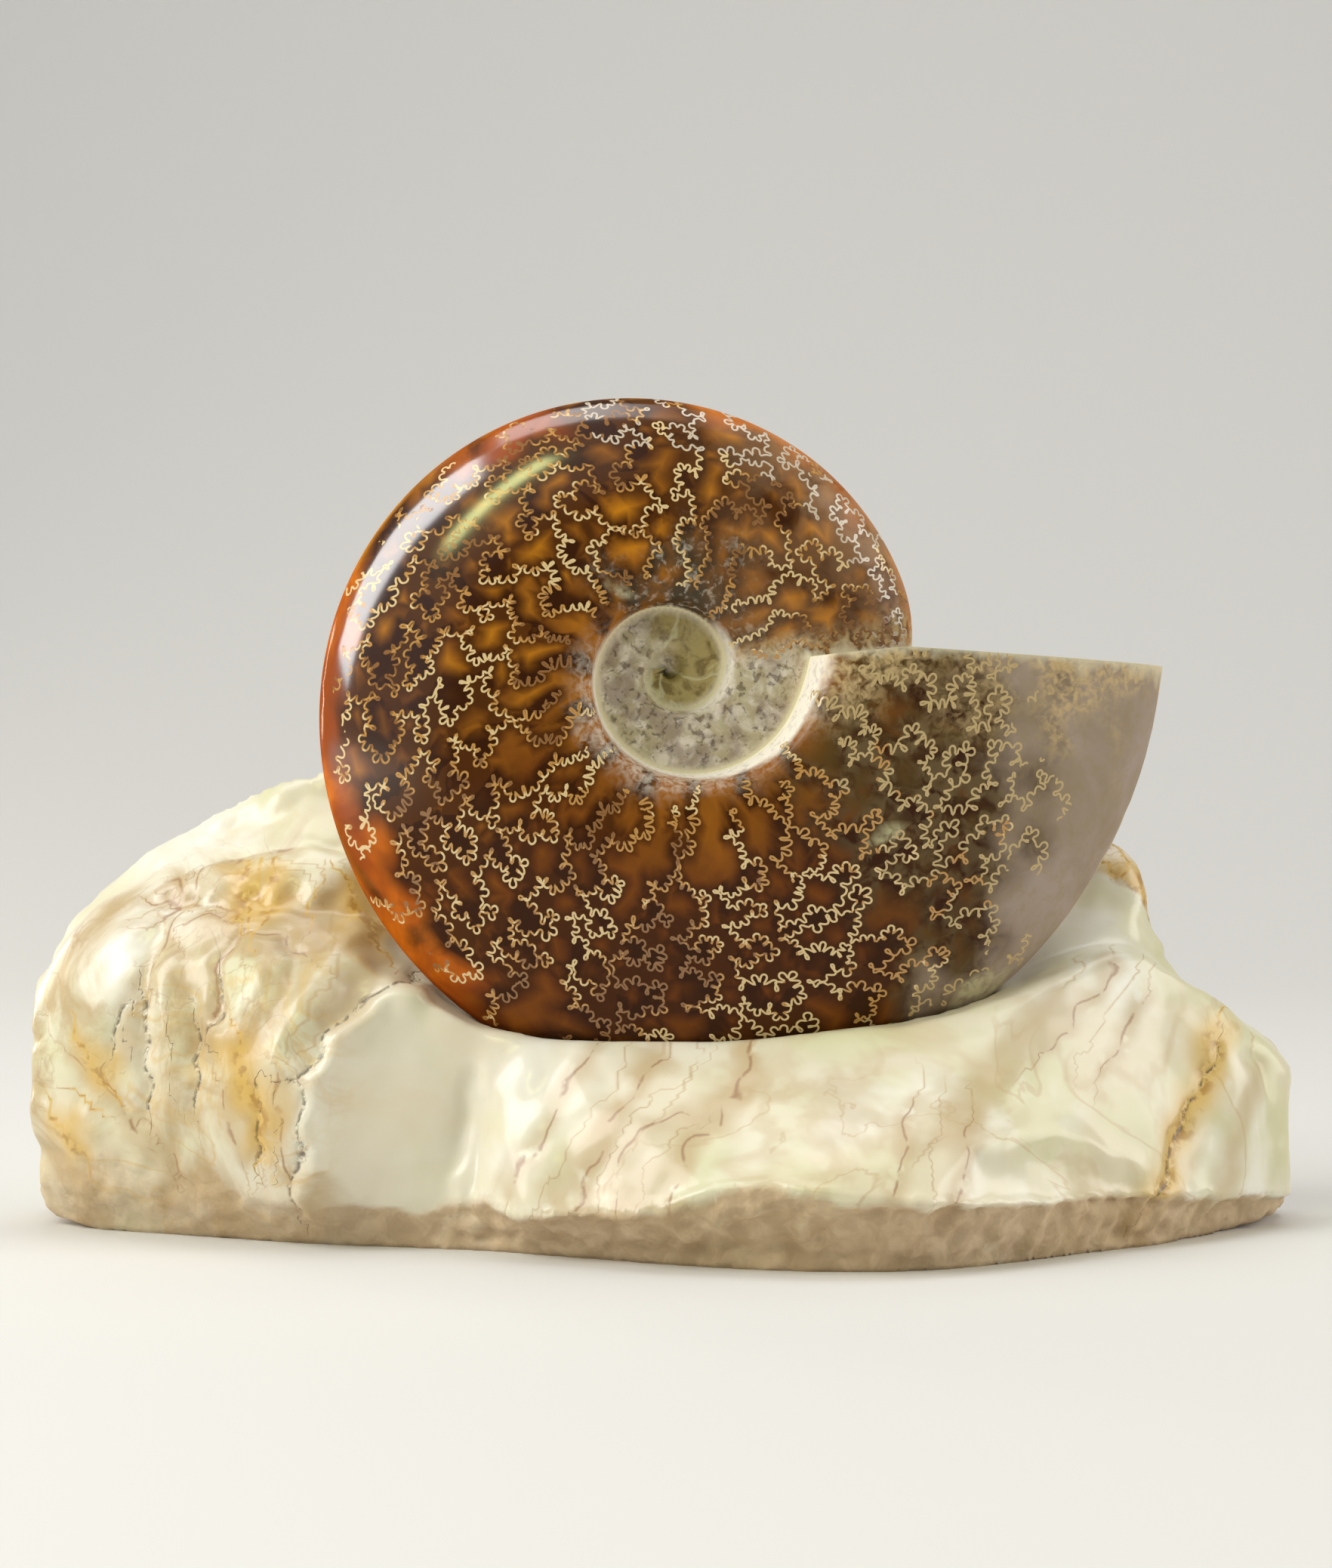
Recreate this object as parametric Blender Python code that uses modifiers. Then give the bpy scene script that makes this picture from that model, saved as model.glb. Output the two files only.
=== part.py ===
"""A polished ammonite standing in a groove of a carved marble base.

Two solids: the ammonite, one coiled shell with its last whorl sawn off flat, and the stone that
holds it. Metres, +Z up, front towards -Y, and the origin under the middle of the stone.
"""

import math

import bmesh
import bpy
from mathutils import Vector

MM = 0.001

# ---- Ammonite: driving dimensions -------------------------------------------------------------
# The coil turns counter-clockwise seen from the front. Angle 0 is the sawn end, seen one turn
# back, and the shell ends at one full turn. Radii are in millimetres, one for each quarter turn
# from the first angle on.
FIRST_ANGLE = -3 * math.pi
VENTER_RADII = (17.0, 20.5, 24.5, 29.0, 34.0, 39.0, 44.2, 48.1, 61.3, 75.8, 90.4, 104.0)
SEAM_RADII = (0.8, 1.3, 2.0, 2.9, 4.3, 6.9, 9.6, 11.0, 13.4, 18.0, 24.3, 33.0)
END_WIDTH = 38.0  # across the last whorl at its sawn end
WIDTH_GROWTH = 0.105  # natural logarithm per radian
WALL_SHARE = 0.055  # of a whorl's height, taken by the steep wall of the umbilicus
WALL_RISE = 0.88  # of the shell's thickness, gained on that wall
SHOULDER_SHARE = 0.2  # of a whorl's height, where the whorl is widest
CORE_SHARE = 0.35  # of its width, the height of the first whorl's own seam
FLANK_POWER = 2.15
VENTER_POWER = 0.56

STEPS_PER_TURN = 48
INSIDE_STEPS = 72  # steps of the inner coils that the umbilicus shows: one turn and a half
SEAM_ROWS = 5  # rows of points from a whorl's inner seam to the next whorl's
VENTER_ROWS = 8  # rows from there to the middle of the outer edge

CUT_RISE = 6.4  # height of the sawn plane above the coil's centre, on the axis
CUT_SLOPE = 0.062  # how much the sawn plane falls per millimetre outwards
CUT_FULL = 40.0  # radius from which the whorls reach the sawn plane in full
CUT_EASE = 1.5  # power by which that share of the reach grows with the radius
CUT_REACH = 0.35  # radians round the coil over which the whorl bends to meet the sawn plane

COIL_CENTRE = Vector((0.3, 0.0, 102.0))
COIL_YAW = math.radians(6.0)
GROOVE_GAP = 0.35  # between the shell and the groove it stands in

# ---- Stone: sections across it, from left to right --------------------------------------------
# Each section gives x, how sharp the ridge or valley down the front is there, and ten (y, z)
# points: foot, lip of the rough edge, low front, high front and rim on its first line, then
# shelf, crest, back, haunch and back foot on its second.
SECTIONS = (
    (-116.4, 0.5, (18, 3), (14, 8), (12, 18), (13, 31), (16, 41),
     (20, 44), (25, 43), (31, 36), (34, 20), (30, 3)),
    (-109.0, 0.2, (12, 0), (7, 7), (4, 22), (6, 41), (12, 54),
     (19, 58.5), (27, 60), (36, 51), (42, 22), (37, 0)),
    (-98.0, 0.0, (8, 0), (3, 7), (-1, 22), (1, 45), (8, 56),
     (15, 62), (27, 68.5), (40, 57), (47, 24), (43, 0)),
    (-82.0, 0.0, (3, 0), (-3, 8), (-8, 24), (-6, 44), (3, 57),
     (10, 64), (26, 77.5), (42, 60), (51, 25), (47, 0)),
    (-64.0, 0.6, (-5, 0), (-13, 8), (-20, 24), (-15, 41), (0, 55),
     (9, 66), (26, 85), (44, 66), (54, 26), (50, 0)),
    (-50.0, 0.0, (-8, 0), (-13, 8), (-16, 24), (-13, 41), (-10, 49),
     (10, 56), (26, 86), (45, 66), (55, 26), (51, 0)),
    (-38.0, 0.0, (-11, 0), (-12, 7), (-10.5, 20), (-11, 33), (-11.6, 42),
     (13, 42), (27, 76), (45, 60), (55, 26), (52, 0)),
    (-33.0, 0.9, (-12, 0), (-15, 7.5), (-9.5, 20), (-10, 32), (-11.4, 39.2),
     (13, 40), (28, 71), (46, 56), (55, 25), (52, 0)),
    (-21.0, 0.3, (-16, 0), (-28, 7), (-24, 20), (-17, 31), (-12, 37.2),
     (13, 38), (28, 62), (46, 52), (55, 24), (52, 0)),
    (4.0, 0.0, (-28, 0), (-36, 10), (-27, 23), (-17, 32), (-12, 36.9),
     (13, 38), (28, 54), (46, 46), (55, 24), (52, 0)),
    (24.0, 0.0, (-34, 0), (-43, 15), (-31, 26), (-18, 34), (-12.2, 37.2),
     (13, 38), (28, 53), (46, 45), (54, 23), (51, 0)),
    (48.0, 0.0, (-33, 0), (-40, 12), (-29, 24), (-17, 36), (-12, 40.2),
     (13, 41), (28, 59), (45, 48), (53, 23), (50, 0)),
    (68.0, 0.0, (-18, 0), (-26, 10), (-17, 26), (-8, 40), (-2, 46.4),
     (12, 47), (26, 71), (41, 57), (50, 24), (47, 0)),
    (81.0, 0.2, (-10, 0), (-15, 9), (-7, 27), (2, 43), (8, 51.4),
     (15, 52), (27, 75), (38, 60), (45, 24), (41, 0)),
    (88.4, 0.0, (-6, 0), (-11, 9), (-4, 26), (4, 41), (10, 50.4),
     (15, 51), (27, 69), (37, 55), (43, 22), (39, 0)),
    (89.6, 0.0, (-4, 0), (-9, 9), (-2, 25), (5, 39.5), (11, 49.2),
     (15, 48.5), (25, 45), (36, 44), (42, 20), (38, 0)),
    (103.0, 0.0, (8, 0), (3, 8), (5, 20), (8, 33), (12, 42.5),
     (17, 42), (24, 40), (32, 34), (37, 16), (33, 0)),
    (115.8, 0.6, (19, 2), (14, 7), (12, 13), (14, 20), (16, 27),
     (20, 28), (25, 27), (29, 21), (31, 11), (28, 2)),
)
ROW_CREASES = (1.0, 0.75, 0.2, 0.2, 0.7, 0.4, 0.6, 0.3, 0.3, 1.0)
FRONT_ROWS = (1, 2, 3)  # the rows whose edges a front ridge or valley sharpens
STONE_LEVELS = 2

# ---- Surfaces ---------------------------------------------------------------------------------
AMBER = (0.28, 0.10, 0.025, 1.0)
AMBER_ROUGHNESS = 0.12
IVORY = (0.86, 0.81, 0.66, 1.0)
IVORY_ROUGHNESS = 0.35
SHARP_ANGLE = math.radians(50)  # from which an edge of the shell stays sharp


def clear_scene():
    for obj in list(bpy.data.objects):
        bpy.data.objects.remove(obj)


def new_collection(name):
    collection = bpy.data.collections.new(name)
    bpy.context.scene.collection.children.link(collection)
    return collection


def material(name, colour, roughness):
    made = bpy.data.materials.new(name)
    made.use_nodes = True
    shader = made.node_tree.nodes["Principled BSDF"]
    shader.inputs["Base Color"].default_value = colour
    shader.inputs["Roughness"].default_value = roughness
    shader.inputs["Metallic"].default_value = 0.0
    return made


def quarter_value(values, angle):
    """A smooth curve through one value at each quarter turn."""
    place = max((angle - FIRST_ANGLE) / (math.pi / 2), 0.0)
    index = min(int(place), len(values) - 2)
    t = place - index
    here, there = values[index], values[index + 1]
    before, after = values[max(index - 1, 0)], values[min(index + 2, len(values) - 1)]
    slope_here = (there - before) / 2
    slope_there = (after - here) / 2
    bend = 3 * (there - here) - 2 * slope_here - slope_there
    twist = 2 * (here - there) + slope_here + slope_there
    return here + t * (slope_here + t * (bend + t * twist))


def venter_radius(angle):
    return quarter_value(VENTER_RADII, angle)


def seam_radius(angle):
    return quarter_value(SEAM_RADII, angle)


def half_width(angle, radius):
    """Half the shell's thickness where the whorl at this angle passes this radius."""
    widest = END_WIDTH / 2 * math.exp(WIDTH_GROWTH * (angle - 2 * math.pi))
    share = (radius - seam_radius(angle)) / (venter_radius(angle) - seam_radius(angle))
    out = max(share - SHOULDER_SHARE, 0.0) / (1.0 - SHOULDER_SHARE)
    full = widest * max(1.0 - out**FLANK_POWER, 0.0) ** VENTER_POWER
    if share >= SHOULDER_SHARE:
        return full
    inner_angle = angle - 2 * math.pi
    if inner_angle >= FIRST_ANGLE:
        seam_height = half_width(inner_angle, seam_radius(angle))
    else:
        seam_height = CORE_SHARE * widest
    rise = min(share / WALL_SHARE, 1.0)
    wall = WALL_RISE * rise * (2 - rise)
    shoulder = (1 - WALL_RISE) * math.sin(math.pi / 2 * share / SHOULDER_SHARE)
    return seam_height + (full - seam_height) * (wall + shoulder)


def section_radii(angle):
    """Radii of the rows of points from the inner seam to the outer edge."""
    inner = seam_radius(angle)
    outer = venter_radius(angle)
    if angle > 0:
        covered = outer * seam_radius(2 * math.pi) / venter_radius(0)
    else:
        covered = seam_radius(angle + 2 * math.pi)
    wall = WALL_SHARE * (outer - inner)
    radii = [inner, inner + 0.5 * wall, inner + wall]
    left = SEAM_ROWS - 2
    radii += [inner + wall + (covered - inner - wall) * k / left for k in range(1, left + 1)]
    for k in range(1, VENTER_ROWS + 1):
        t = k / VENTER_ROWS
        radii.append(covered + (outer - covered) * math.sin(math.pi / 2 * t))
    return radii


def coil_point(angle, radius, width, inflate):
    """A point of the shell's front face in the stone's frame, in metres."""
    x = radius * math.cos(angle)
    z = radius * math.sin(angle)
    turned = math.atan2(z, x)
    reached = min((radius / CUT_FULL) ** CUT_EASE, 1.0)
    near_cut = math.exp(-((turned / CUT_REACH) ** 2)) * reached
    z += (CUT_RISE - CUT_SLOPE * radius) * near_cut
    out = Vector((x, 0, z))
    if inflate:
        out *= 1 + inflate / max(out.length, 1.0)
        width += inflate
    return out, width


def placed(out, depth):
    local = Vector((out.x, depth, out.z))
    across = Vector(
        (
            local.x * math.cos(COIL_YAW) - local.y * math.sin(COIL_YAW),
            local.x * math.sin(COIL_YAW) + local.y * math.cos(COIL_YAW),
            local.z,
        )
    )
    return (across + COIL_CENTRE) * MM


def ammonite_mesh(name, inflate=0.0):
    """The coiled shell: a strip from the middle outwards, each turn sharing its seam with the last."""
    mesh = bmesh.new()
    last = INSIDE_STEPS + STEPS_PER_TURN
    half = SEAM_ROWS + VENTER_ROWS
    front, back = {}, {}
    for step in range(last + 1):
        angle = 2 * math.pi * (step - INSIDE_STEPS) / STEPS_PER_TURN
        radii = section_radii(angle)
        whole = step >= INSIDE_STEPS
        for row in range(half + 1 if whole else SEAM_ROWS + 1):
            shared = (step - STEPS_PER_TURN, SEAM_ROWS)
            if row == 0 and shared in front:
                front[step, row], back[step, row] = front[shared], back[shared]
                continue
            width = half_width(angle, radii[row])
            out, width = coil_point(angle, radii[row], width, inflate)
            if row == half:
                front[step, row] = back[step, row] = mesh.verts.new(placed(out, 0.0))
            else:
                front[step, row] = mesh.verts.new(placed(out, -width))
                back[step, row] = mesh.verts.new(placed(out, width))
    for step in range(last):
        for row in range(half if step >= INSIDE_STEPS else SEAM_ROWS):
            ring = [(step, row), (step, row + 1), (step + 1, row + 1), (step + 1, row)]
            mesh.faces.new([front[key] for key in ring])
            mesh.faces.new([back[key] for key in reversed(ring)])
    for side in (front, back):
        rim = [side[step, 0] for step in range(STEPS_PER_TURN + 1)]
        rim += [side[0, row] for row in range(SEAM_ROWS - 1, 0, -1)]
        middle = mesh.verts.new(sum((v.co for v in rim), Vector()) / len(rim))
        for one, other in zip(rim, rim[1:] + rim[:1]):
            mesh.faces.new((one, other, middle))
    sawn = [front[last, row] for row in range(half + 1)]
    sawn += [back[last, row] for row in range(half - 1, -1, -1)]
    sawn += [back[INSIDE_STEPS, row] for row in range(SEAM_ROWS + 1, half + 1)]
    sawn += [front[INSIDE_STEPS, row] for row in range(half - 1, SEAM_ROWS, -1)]
    mesh.faces.new(sawn)
    bmesh.ops.recalc_face_normals(mesh, faces=mesh.faces)
    if mesh.calc_volume(signed=True) < 0:
        bmesh.ops.reverse_faces(mesh, faces=mesh.faces)
    data = bpy.data.meshes.new(name)
    mesh.to_mesh(data)
    mesh.free()
    return data


def add_object(name, data, collection):
    obj = bpy.data.objects.new(name, data)
    collection.objects.link(obj)
    return obj


def make_ammonite(collection):
    obj = add_object("ammonite", ammonite_mesh("ammonite"), collection)
    obj.data.materials.append(material("polished_ammonite", AMBER, AMBER_ROUGHNESS))
    obj.data.shade_smooth()
    obj.data.set_sharp_from_angle(angle=SHARP_ANGLE)
    return obj


def stone_cage():
    """A cage lofted through the sections, creased along its ridges and round the flat foot."""
    mesh = bmesh.new()
    creases = mesh.edges.layers.float.new("crease_edge")
    rings = [
        [mesh.verts.new(Vector((x, y, z)) * MM) for y, z in points] for x, _, *points in SECTIONS
    ]
    rows = len(ROW_CREASES)
    for ring, following in zip(rings, rings[1:]):
        for row in range(rows):
            nxt = (row + 1) % rows
            mesh.faces.new((ring[row], following[row], following[nxt], ring[nxt]))
    for end in (rings[0], rings[-1]):
        mesh.faces.new(end)
    for row, crease in enumerate(ROW_CREASES):
        for ring, following in zip(rings, rings[1:]):
            mesh.edges.get((ring[row], following[row]))[creases] = crease
    for (_, ridge, *_), ring in zip(SECTIONS, rings):
        whole_ring = ring in (rings[0], rings[-1])
        for row in range(rows) if whole_ring else FRONT_ROWS:
            mesh.edges.get((ring[row], ring[(row + 1) % rows]))[creases] = ridge
    bmesh.ops.recalc_face_normals(mesh, faces=mesh.faces)
    data = bpy.data.meshes.new("stone_base")
    mesh.to_mesh(data)
    mesh.free()
    return data


def make_stone(collection, cutters):
    obj = add_object("stone_base", stone_cage(), collection)
    obj.data.materials.append(material("ivory_marble", IVORY, IVORY_ROUGHNESS))
    smooth = obj.modifiers.new("carved", "SUBSURF")
    smooth.levels = STONE_LEVELS
    smooth.render_levels = STONE_LEVELS
    groove = add_object("groove_cutter", ammonite_mesh("groove_cutter", GROOVE_GAP), cutters)
    groove.hide_render = True
    groove.display_type = "WIRE"
    cut = obj.modifiers.new("groove", "BOOLEAN")
    cut.operation = "DIFFERENCE"
    cut.object = groove
    return obj


def centre_on_foot(objects):
    """Move everything so that the origin is under the middle of the whole object's box."""
    bpy.context.view_layer.update()
    graph = bpy.context.evaluated_depsgraph_get()
    corners = [
        Vector(corner)
        for obj in objects
        if not obj.hide_render
        for corner in obj.evaluated_get(graph).bound_box
    ]
    middle = Vector(
        (min(c[axis] for c in corners) + max(c[axis] for c in corners)) / 2 for axis in range(3)
    )
    for obj in objects:
        obj.location = (-middle.x, -middle.y, 0)


def main():
    clear_scene()
    parts = new_collection("ammonite_on_stone")
    cutters = new_collection("cutters")
    make_ammonite(parts)
    make_stone(parts, cutters)
    centre_on_foot(list(parts.objects) + list(cutters.objects))


main()
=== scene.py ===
"""A polished ammonite on its carved marble stone, with the shell's frilled sutures in full.

Two pieces stand for the two solids of the frame: the coiled shell, whose sutures are strips of its
own surface, and the stone, with its veins, ridges and rough lower edge. All shapes are worked out
in millimetres in the stone's own frame and placed in metres.
"""

import math

import bmesh
import bpy
import numpy as np
from mathutils import Matrix, Vector
from mathutils.bvhtree import BVHTree
from mathutils.geometry import delaunay_2d_cdt
from mathutils.kdtree import KDTree


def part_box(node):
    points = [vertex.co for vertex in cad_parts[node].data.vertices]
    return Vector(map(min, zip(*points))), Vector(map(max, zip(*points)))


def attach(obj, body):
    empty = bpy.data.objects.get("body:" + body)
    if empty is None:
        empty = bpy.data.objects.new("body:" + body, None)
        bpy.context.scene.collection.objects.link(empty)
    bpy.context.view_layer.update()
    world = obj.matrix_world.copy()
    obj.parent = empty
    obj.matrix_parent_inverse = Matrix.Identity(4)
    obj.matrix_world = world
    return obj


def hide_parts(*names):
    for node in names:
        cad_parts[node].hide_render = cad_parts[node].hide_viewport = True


bl_info = {
    "name": "Ammonite on a Stone",
    "version": (1, 0, 0),
    "blender": (4, 5, 0),
    "location": "3D View > Sidebar > Ammonite",
    "description": "Builds a polished ammonite, the stone that holds it and a plain studio stage",
    "category": "Add Mesh",
}

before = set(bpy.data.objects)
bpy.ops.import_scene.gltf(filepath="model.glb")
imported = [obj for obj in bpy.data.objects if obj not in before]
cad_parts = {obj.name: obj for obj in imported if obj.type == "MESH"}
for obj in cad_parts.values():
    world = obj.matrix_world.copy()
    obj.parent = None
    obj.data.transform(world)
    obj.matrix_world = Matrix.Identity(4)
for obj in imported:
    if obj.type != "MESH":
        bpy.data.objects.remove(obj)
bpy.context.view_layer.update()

MM = 0.001
TURN = 2 * math.pi

# ---- The coil, as the frame has it ------------------------------------------------------------
# Angle 0 is the sawn end seen one turn back, and the shell ends at one full turn. The radii are
# in millimetres, one for each quarter turn from the first angle on.
FIRST_ANGLE = -3 * math.pi
VENTER_RADII = np.array((17.0, 20.5, 24.5, 29.0, 34.0, 39.0, 44.2, 48.1, 61.3, 75.8, 90.4, 104.0))
SEAM_RADII = np.array((0.8, 1.3, 2.0, 2.9, 4.3, 6.9, 9.6, 11.0, 13.4, 18.0, 24.3, 33.0))
END_WIDTH = 38.0  # thickness at the sawn end
WIDTH_GROWTH = 0.105  # how fast it grows, as a power of e for each radian
WALL_SHARE = 0.055  # of a section's height, up which the umbilicus wall reaches
WALL_RISE = 0.88  # share of the way to full thickness that the wall climbs
SHOULDER_SHARE = 0.2  # of a section's height, where the side is at its thickest
CORE_SHARE = 0.35  # of the thickness, that the innermost turn has at its seam
CORE_END = 3.65  # half width at the seam where the innermost turn ends
FLANK_POWER = 2.15  # how late the side turns away, towards the outer edge
VENTER_POWER = 0.56  # how round the outer edge is
CUT_RISE = 6.4  # by which the sawn end is lifted, less CUT_SLOPE of its radius
CUT_SLOPE = 0.062
CUT_FULL = 40.0  # radius from which the lift is complete
CUT_REACH = 0.35  # radians to either side over which the lift dies out
COIL_CENTRE = np.array((0.3, 0.0, 102.0))
COIL_YAW = math.radians(6.0)
SHRINK = 0.9993  # keeps the finer surface inside the frame's own box
SHELL_SHIFT = (0.0003, -0.00647)  # metres that the frame moved everything by, onto its middle


# ---- Small helpers ----------------------------------------------------------------------------
def ramp(low, high, value):
    """0 up to low, 1 from high on, and a smooth step between; low may be the greater."""
    t = np.clip((np.asarray(value, float) - low) / (high - low), 0.0, 1.0)
    return t * t * (3 - 2 * t)


def between(start, full, fading, end, value):
    """0 up to start, 1 from full to fading and 0 again from end on, with smooth steps."""
    return ramp(start, full, value) * ramp(end, fading, value)


def wave_field(seed, count, shortest, longest):
    """A smooth random field over any number of coordinates, made of plane waves."""
    draw = np.random.default_rng(seed)
    lengths = np.exp(draw.uniform(math.log(shortest), math.log(longest), count))
    ways = draw.normal(size=(3, count))
    ways /= np.linalg.norm(ways, axis=0)
    phases = draw.uniform(0, TURN, count)

    def field(*coordinates):
        """The field's value at these coordinates, mostly from -1 to 1."""
        total = phases
        for axis, values in enumerate(coordinates):
            total = total + np.asarray(values, float)[..., None] * (TURN / lengths * ways[axis])
        return np.sin(total).sum(-1) / math.sqrt(count / 2)

    return field


# ---- The shell's surface ----------------------------------------------------------------------
def cubic(t, here, there, leaving, coming):
    """The cubic from here to there that has these slopes at its ends, at t from 0 to 1."""
    bend = 3 * (there - here) - 2 * leaving - coming
    twist = 2 * (here - there) + leaving + coming
    return here + t * (leaving + t * (bend + t * twist))


def quarter_value(values, angle):
    """A smooth curve through one value at each quarter turn."""
    place = np.maximum((np.asarray(angle, float) - FIRST_ANGLE) / (math.pi / 2), 0.0)
    index = np.minimum(place.astype(int), len(values) - 2)
    here, there = values[index], values[index + 1]
    before = values[np.maximum(index - 1, 0)]
    after = values[np.minimum(index + 2, len(values) - 1)]
    return cubic(place - index, here, there, (there - before) / 2, (after - here) / 2)


def seam_and_edge(angle):
    """Radii of a section's inner seam and of its outer edge."""
    return quarter_value(SEAM_RADII, angle), quarter_value(VENTER_RADII, angle)


def half_width(angle, radius):
    """Half the shell's thickness where the whorl at this angle passes this radius."""
    angle, radius = np.broadcast_arrays(np.asarray(angle, float), np.asarray(radius, float))
    widest = END_WIDTH / 2 * np.exp(WIDTH_GROWTH * (angle - TURN))
    inner, outer = seam_and_edge(angle)
    share = (radius - inner) / (outer - inner)
    out = np.clip((share - SHOULDER_SHARE) / (1.0 - SHOULDER_SHARE), 0.0, 1.0)
    full = widest * (1.0 - out**FLANK_POWER) ** VENTER_POWER
    low = share < SHOULDER_SHARE
    if not low.any():
        return full
    # Below the shoulder the side climbs from its seam, which lies on the whorl one turn back.
    seam_height = CORE_SHARE * widest
    rising = ramp(FIRST_ANGLE, FIRST_ANGLE + TURN, angle)
    seam_height = seam_height + (CORE_END - seam_height) * rising
    deeper = low & (angle - TURN > FIRST_ANGLE - 1e-6)
    if deeper.any():
        seam_height[deeper] = half_width(angle[deeper] - TURN, inner[deeper])
    rise = np.clip(share / WALL_SHARE, 0.0, 1.0)
    shoulder = (1 - WALL_RISE) * np.sin(math.pi / 2 * np.clip(share / SHOULDER_SHARE, 0.0, 1.0))
    climbed = WALL_RISE * rise * (2 - rise) + shoulder
    return np.where(low, seam_height + (full - seam_height) * climbed, full)


def arc_table(typical=1.7 * math.pi, wall_steps=200, flank_steps=700):
    """How far along a typical section, from seam to outer edge, each share of its height lies."""
    angle = np.full(wall_steps + flank_steps, typical)
    wall = np.linspace(0, 0.07, wall_steps)
    flank = 1 - (1 - np.linspace(0.075, 1, flank_steps)) ** 2.0
    share = np.sort(np.concatenate((wall, flank)))
    inner, outer = seam_and_edge(angle)
    height = outer[0] - inner[0]
    width = half_width(angle, inner + height * share)
    run = np.concatenate(([0.0], np.cumsum(np.hypot(np.diff(share) * height, np.diff(width)))))
    return share, run / run[-1], run[-1] / height


SHARES, RUNS, ARC_STRETCH = arc_table()


def section(angle, along):
    """Radius and length of section at an angle, for a place along it from 0 (seam) to 1 (edge)."""
    inner, outer = seam_and_edge(angle)
    radius = inner + (outer - inner) * np.interp(along, RUNS, SHARES)
    return radius, ARC_STRETCH * (outer - inner)


def along_of(angle, radius):
    """The place along a section that has this radius."""
    inner, outer = seam_and_edge(angle)
    return np.interp((radius - inner) / (outer - inner), SHARES, RUNS)


def covered_along(angle):
    """Where along a section the next whorl's seam lies on it, or would, past the sawn end."""
    angle = np.asarray(angle, float)
    share_of_edge = SEAM_RADII[-2] / VENTER_RADII[6]  # both at the sawn end's own direction
    outer = quarter_value(VENTER_RADII, angle)
    seam = np.where(angle > 0, outer * share_of_edge, quarter_value(SEAM_RADII, angle + TURN))
    return along_of(angle, seam)


def cut_lift(radius, share=1.0):
    """How far the sawn end is lifted at a radius, or a share of that beside it."""
    reach = share * np.minimum((radius / CUT_FULL) ** 1.5, 1.0)
    return (CUT_RISE - CUT_SLOPE * radius) * reach


def coil_place(angle, along):
    """Front points of the shell in the coil's own axes, in millimetres."""
    radius, _ = section(angle, along)
    width = half_width(angle, radius)
    x, z = radius * np.cos(angle), radius * np.sin(angle)
    turned = np.arctan2(z, x)
    z = z + cut_lift(radius, np.exp(-((turned / CUT_REACH) ** 2)))
    return np.stack((x, -width, z), -1)


# ---- Sutures: where each chamber wall meets the shell -------------------------------------------
SUTURE_SPACING = ((-0.5, 1.2, 3.14, 4.7, 6.28), (0.32, 0.295, 0.235, 0.195, 0.18))  # radians
SUTURE_FOLDS = ((0.0, 1.57, 3.14, 4.7, 6.28), (4.0, 4.4, 5.6, 6.8, 7.4))  # folds across the flank
SUTURE_START = 0.07  # along the section, just outside the wall of the umbilicus
SUTURE_END = 0.965
FOLD_TURN = 1.78  # radians a fold swings off the straight line
FOLD_HEIGHT = 10.5  # millimetres, at most
FOLD_SHARE = 0.82  # of the distance to the next suture, that a fold reaches over
FIRST_SUTURE = -0.3  # angles of the first suture and past the last
LAST_SUTURE = TURN + 0.25
SUTURE_STAGGER = 0.10  # along the section, by which every other suture starts further out
OVERHANG = 0.035  # shares of a lobe's length: how far its shoulders swell
BULGE = 0.07  # and how far its flanks lean apart
ROUNDING = 0.10  # share of a lobe's height by which it is set back at crest and foot
BEND_LIMIT = 0.55  # a lobe stays lower than this share of its line's own radius of turn
LARGEST_BENT = 0.35  # share of its height by which a lobe grows out of a turn, at most
LINE_STEP = 0.3  # millimetres between the points of the folded lines
CURVE_STEP = 0.16  # and of the finished sutures
FRILL_STEP = 0.075  # while lobes are raised on them


def respaced(line, step):
    """The same line with points every step millimetres."""
    radius, length = section(line[0], line[1])
    run = np.hypot(np.diff(line[0]) * radius[1:], np.diff(line[1]) * length[1:])
    run = np.concatenate(([0.0], np.cumsum(run)))
    even = np.linspace(0, run[-1], max(int(run[-1] / step), 8) + 1)
    return np.array([np.interp(even, run, values) for values in line]), even


def yawed(vectors):
    """Vectors turned from the coil's own axes to the stone's."""
    cos, sin = math.cos(COIL_YAW), math.sin(COIL_YAW)
    x, y, z = vectors.T
    return np.stack((x * cos - y * sin, x * sin + y * cos, z), -1)


def smoothed(values, half):
    """Each value's mean with its neighbours, half as many on either side."""
    window = np.ones(2 * half + 1) / (2 * half + 1)
    return np.convolve(np.pad(values, half, "edge"), window, "valid")


def headings(line, half):
    """Unit direction of a line in millimetres, round the coil and across it."""
    radius, length = section(line[0], line[1])
    around = smoothed(np.gradient(line[0]) * radius, half)
    across = smoothed(np.gradient(line[1]) * length, half)
    size = np.hypot(around, across) + 1e-9
    return around / size, across / size, radius, length


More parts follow.
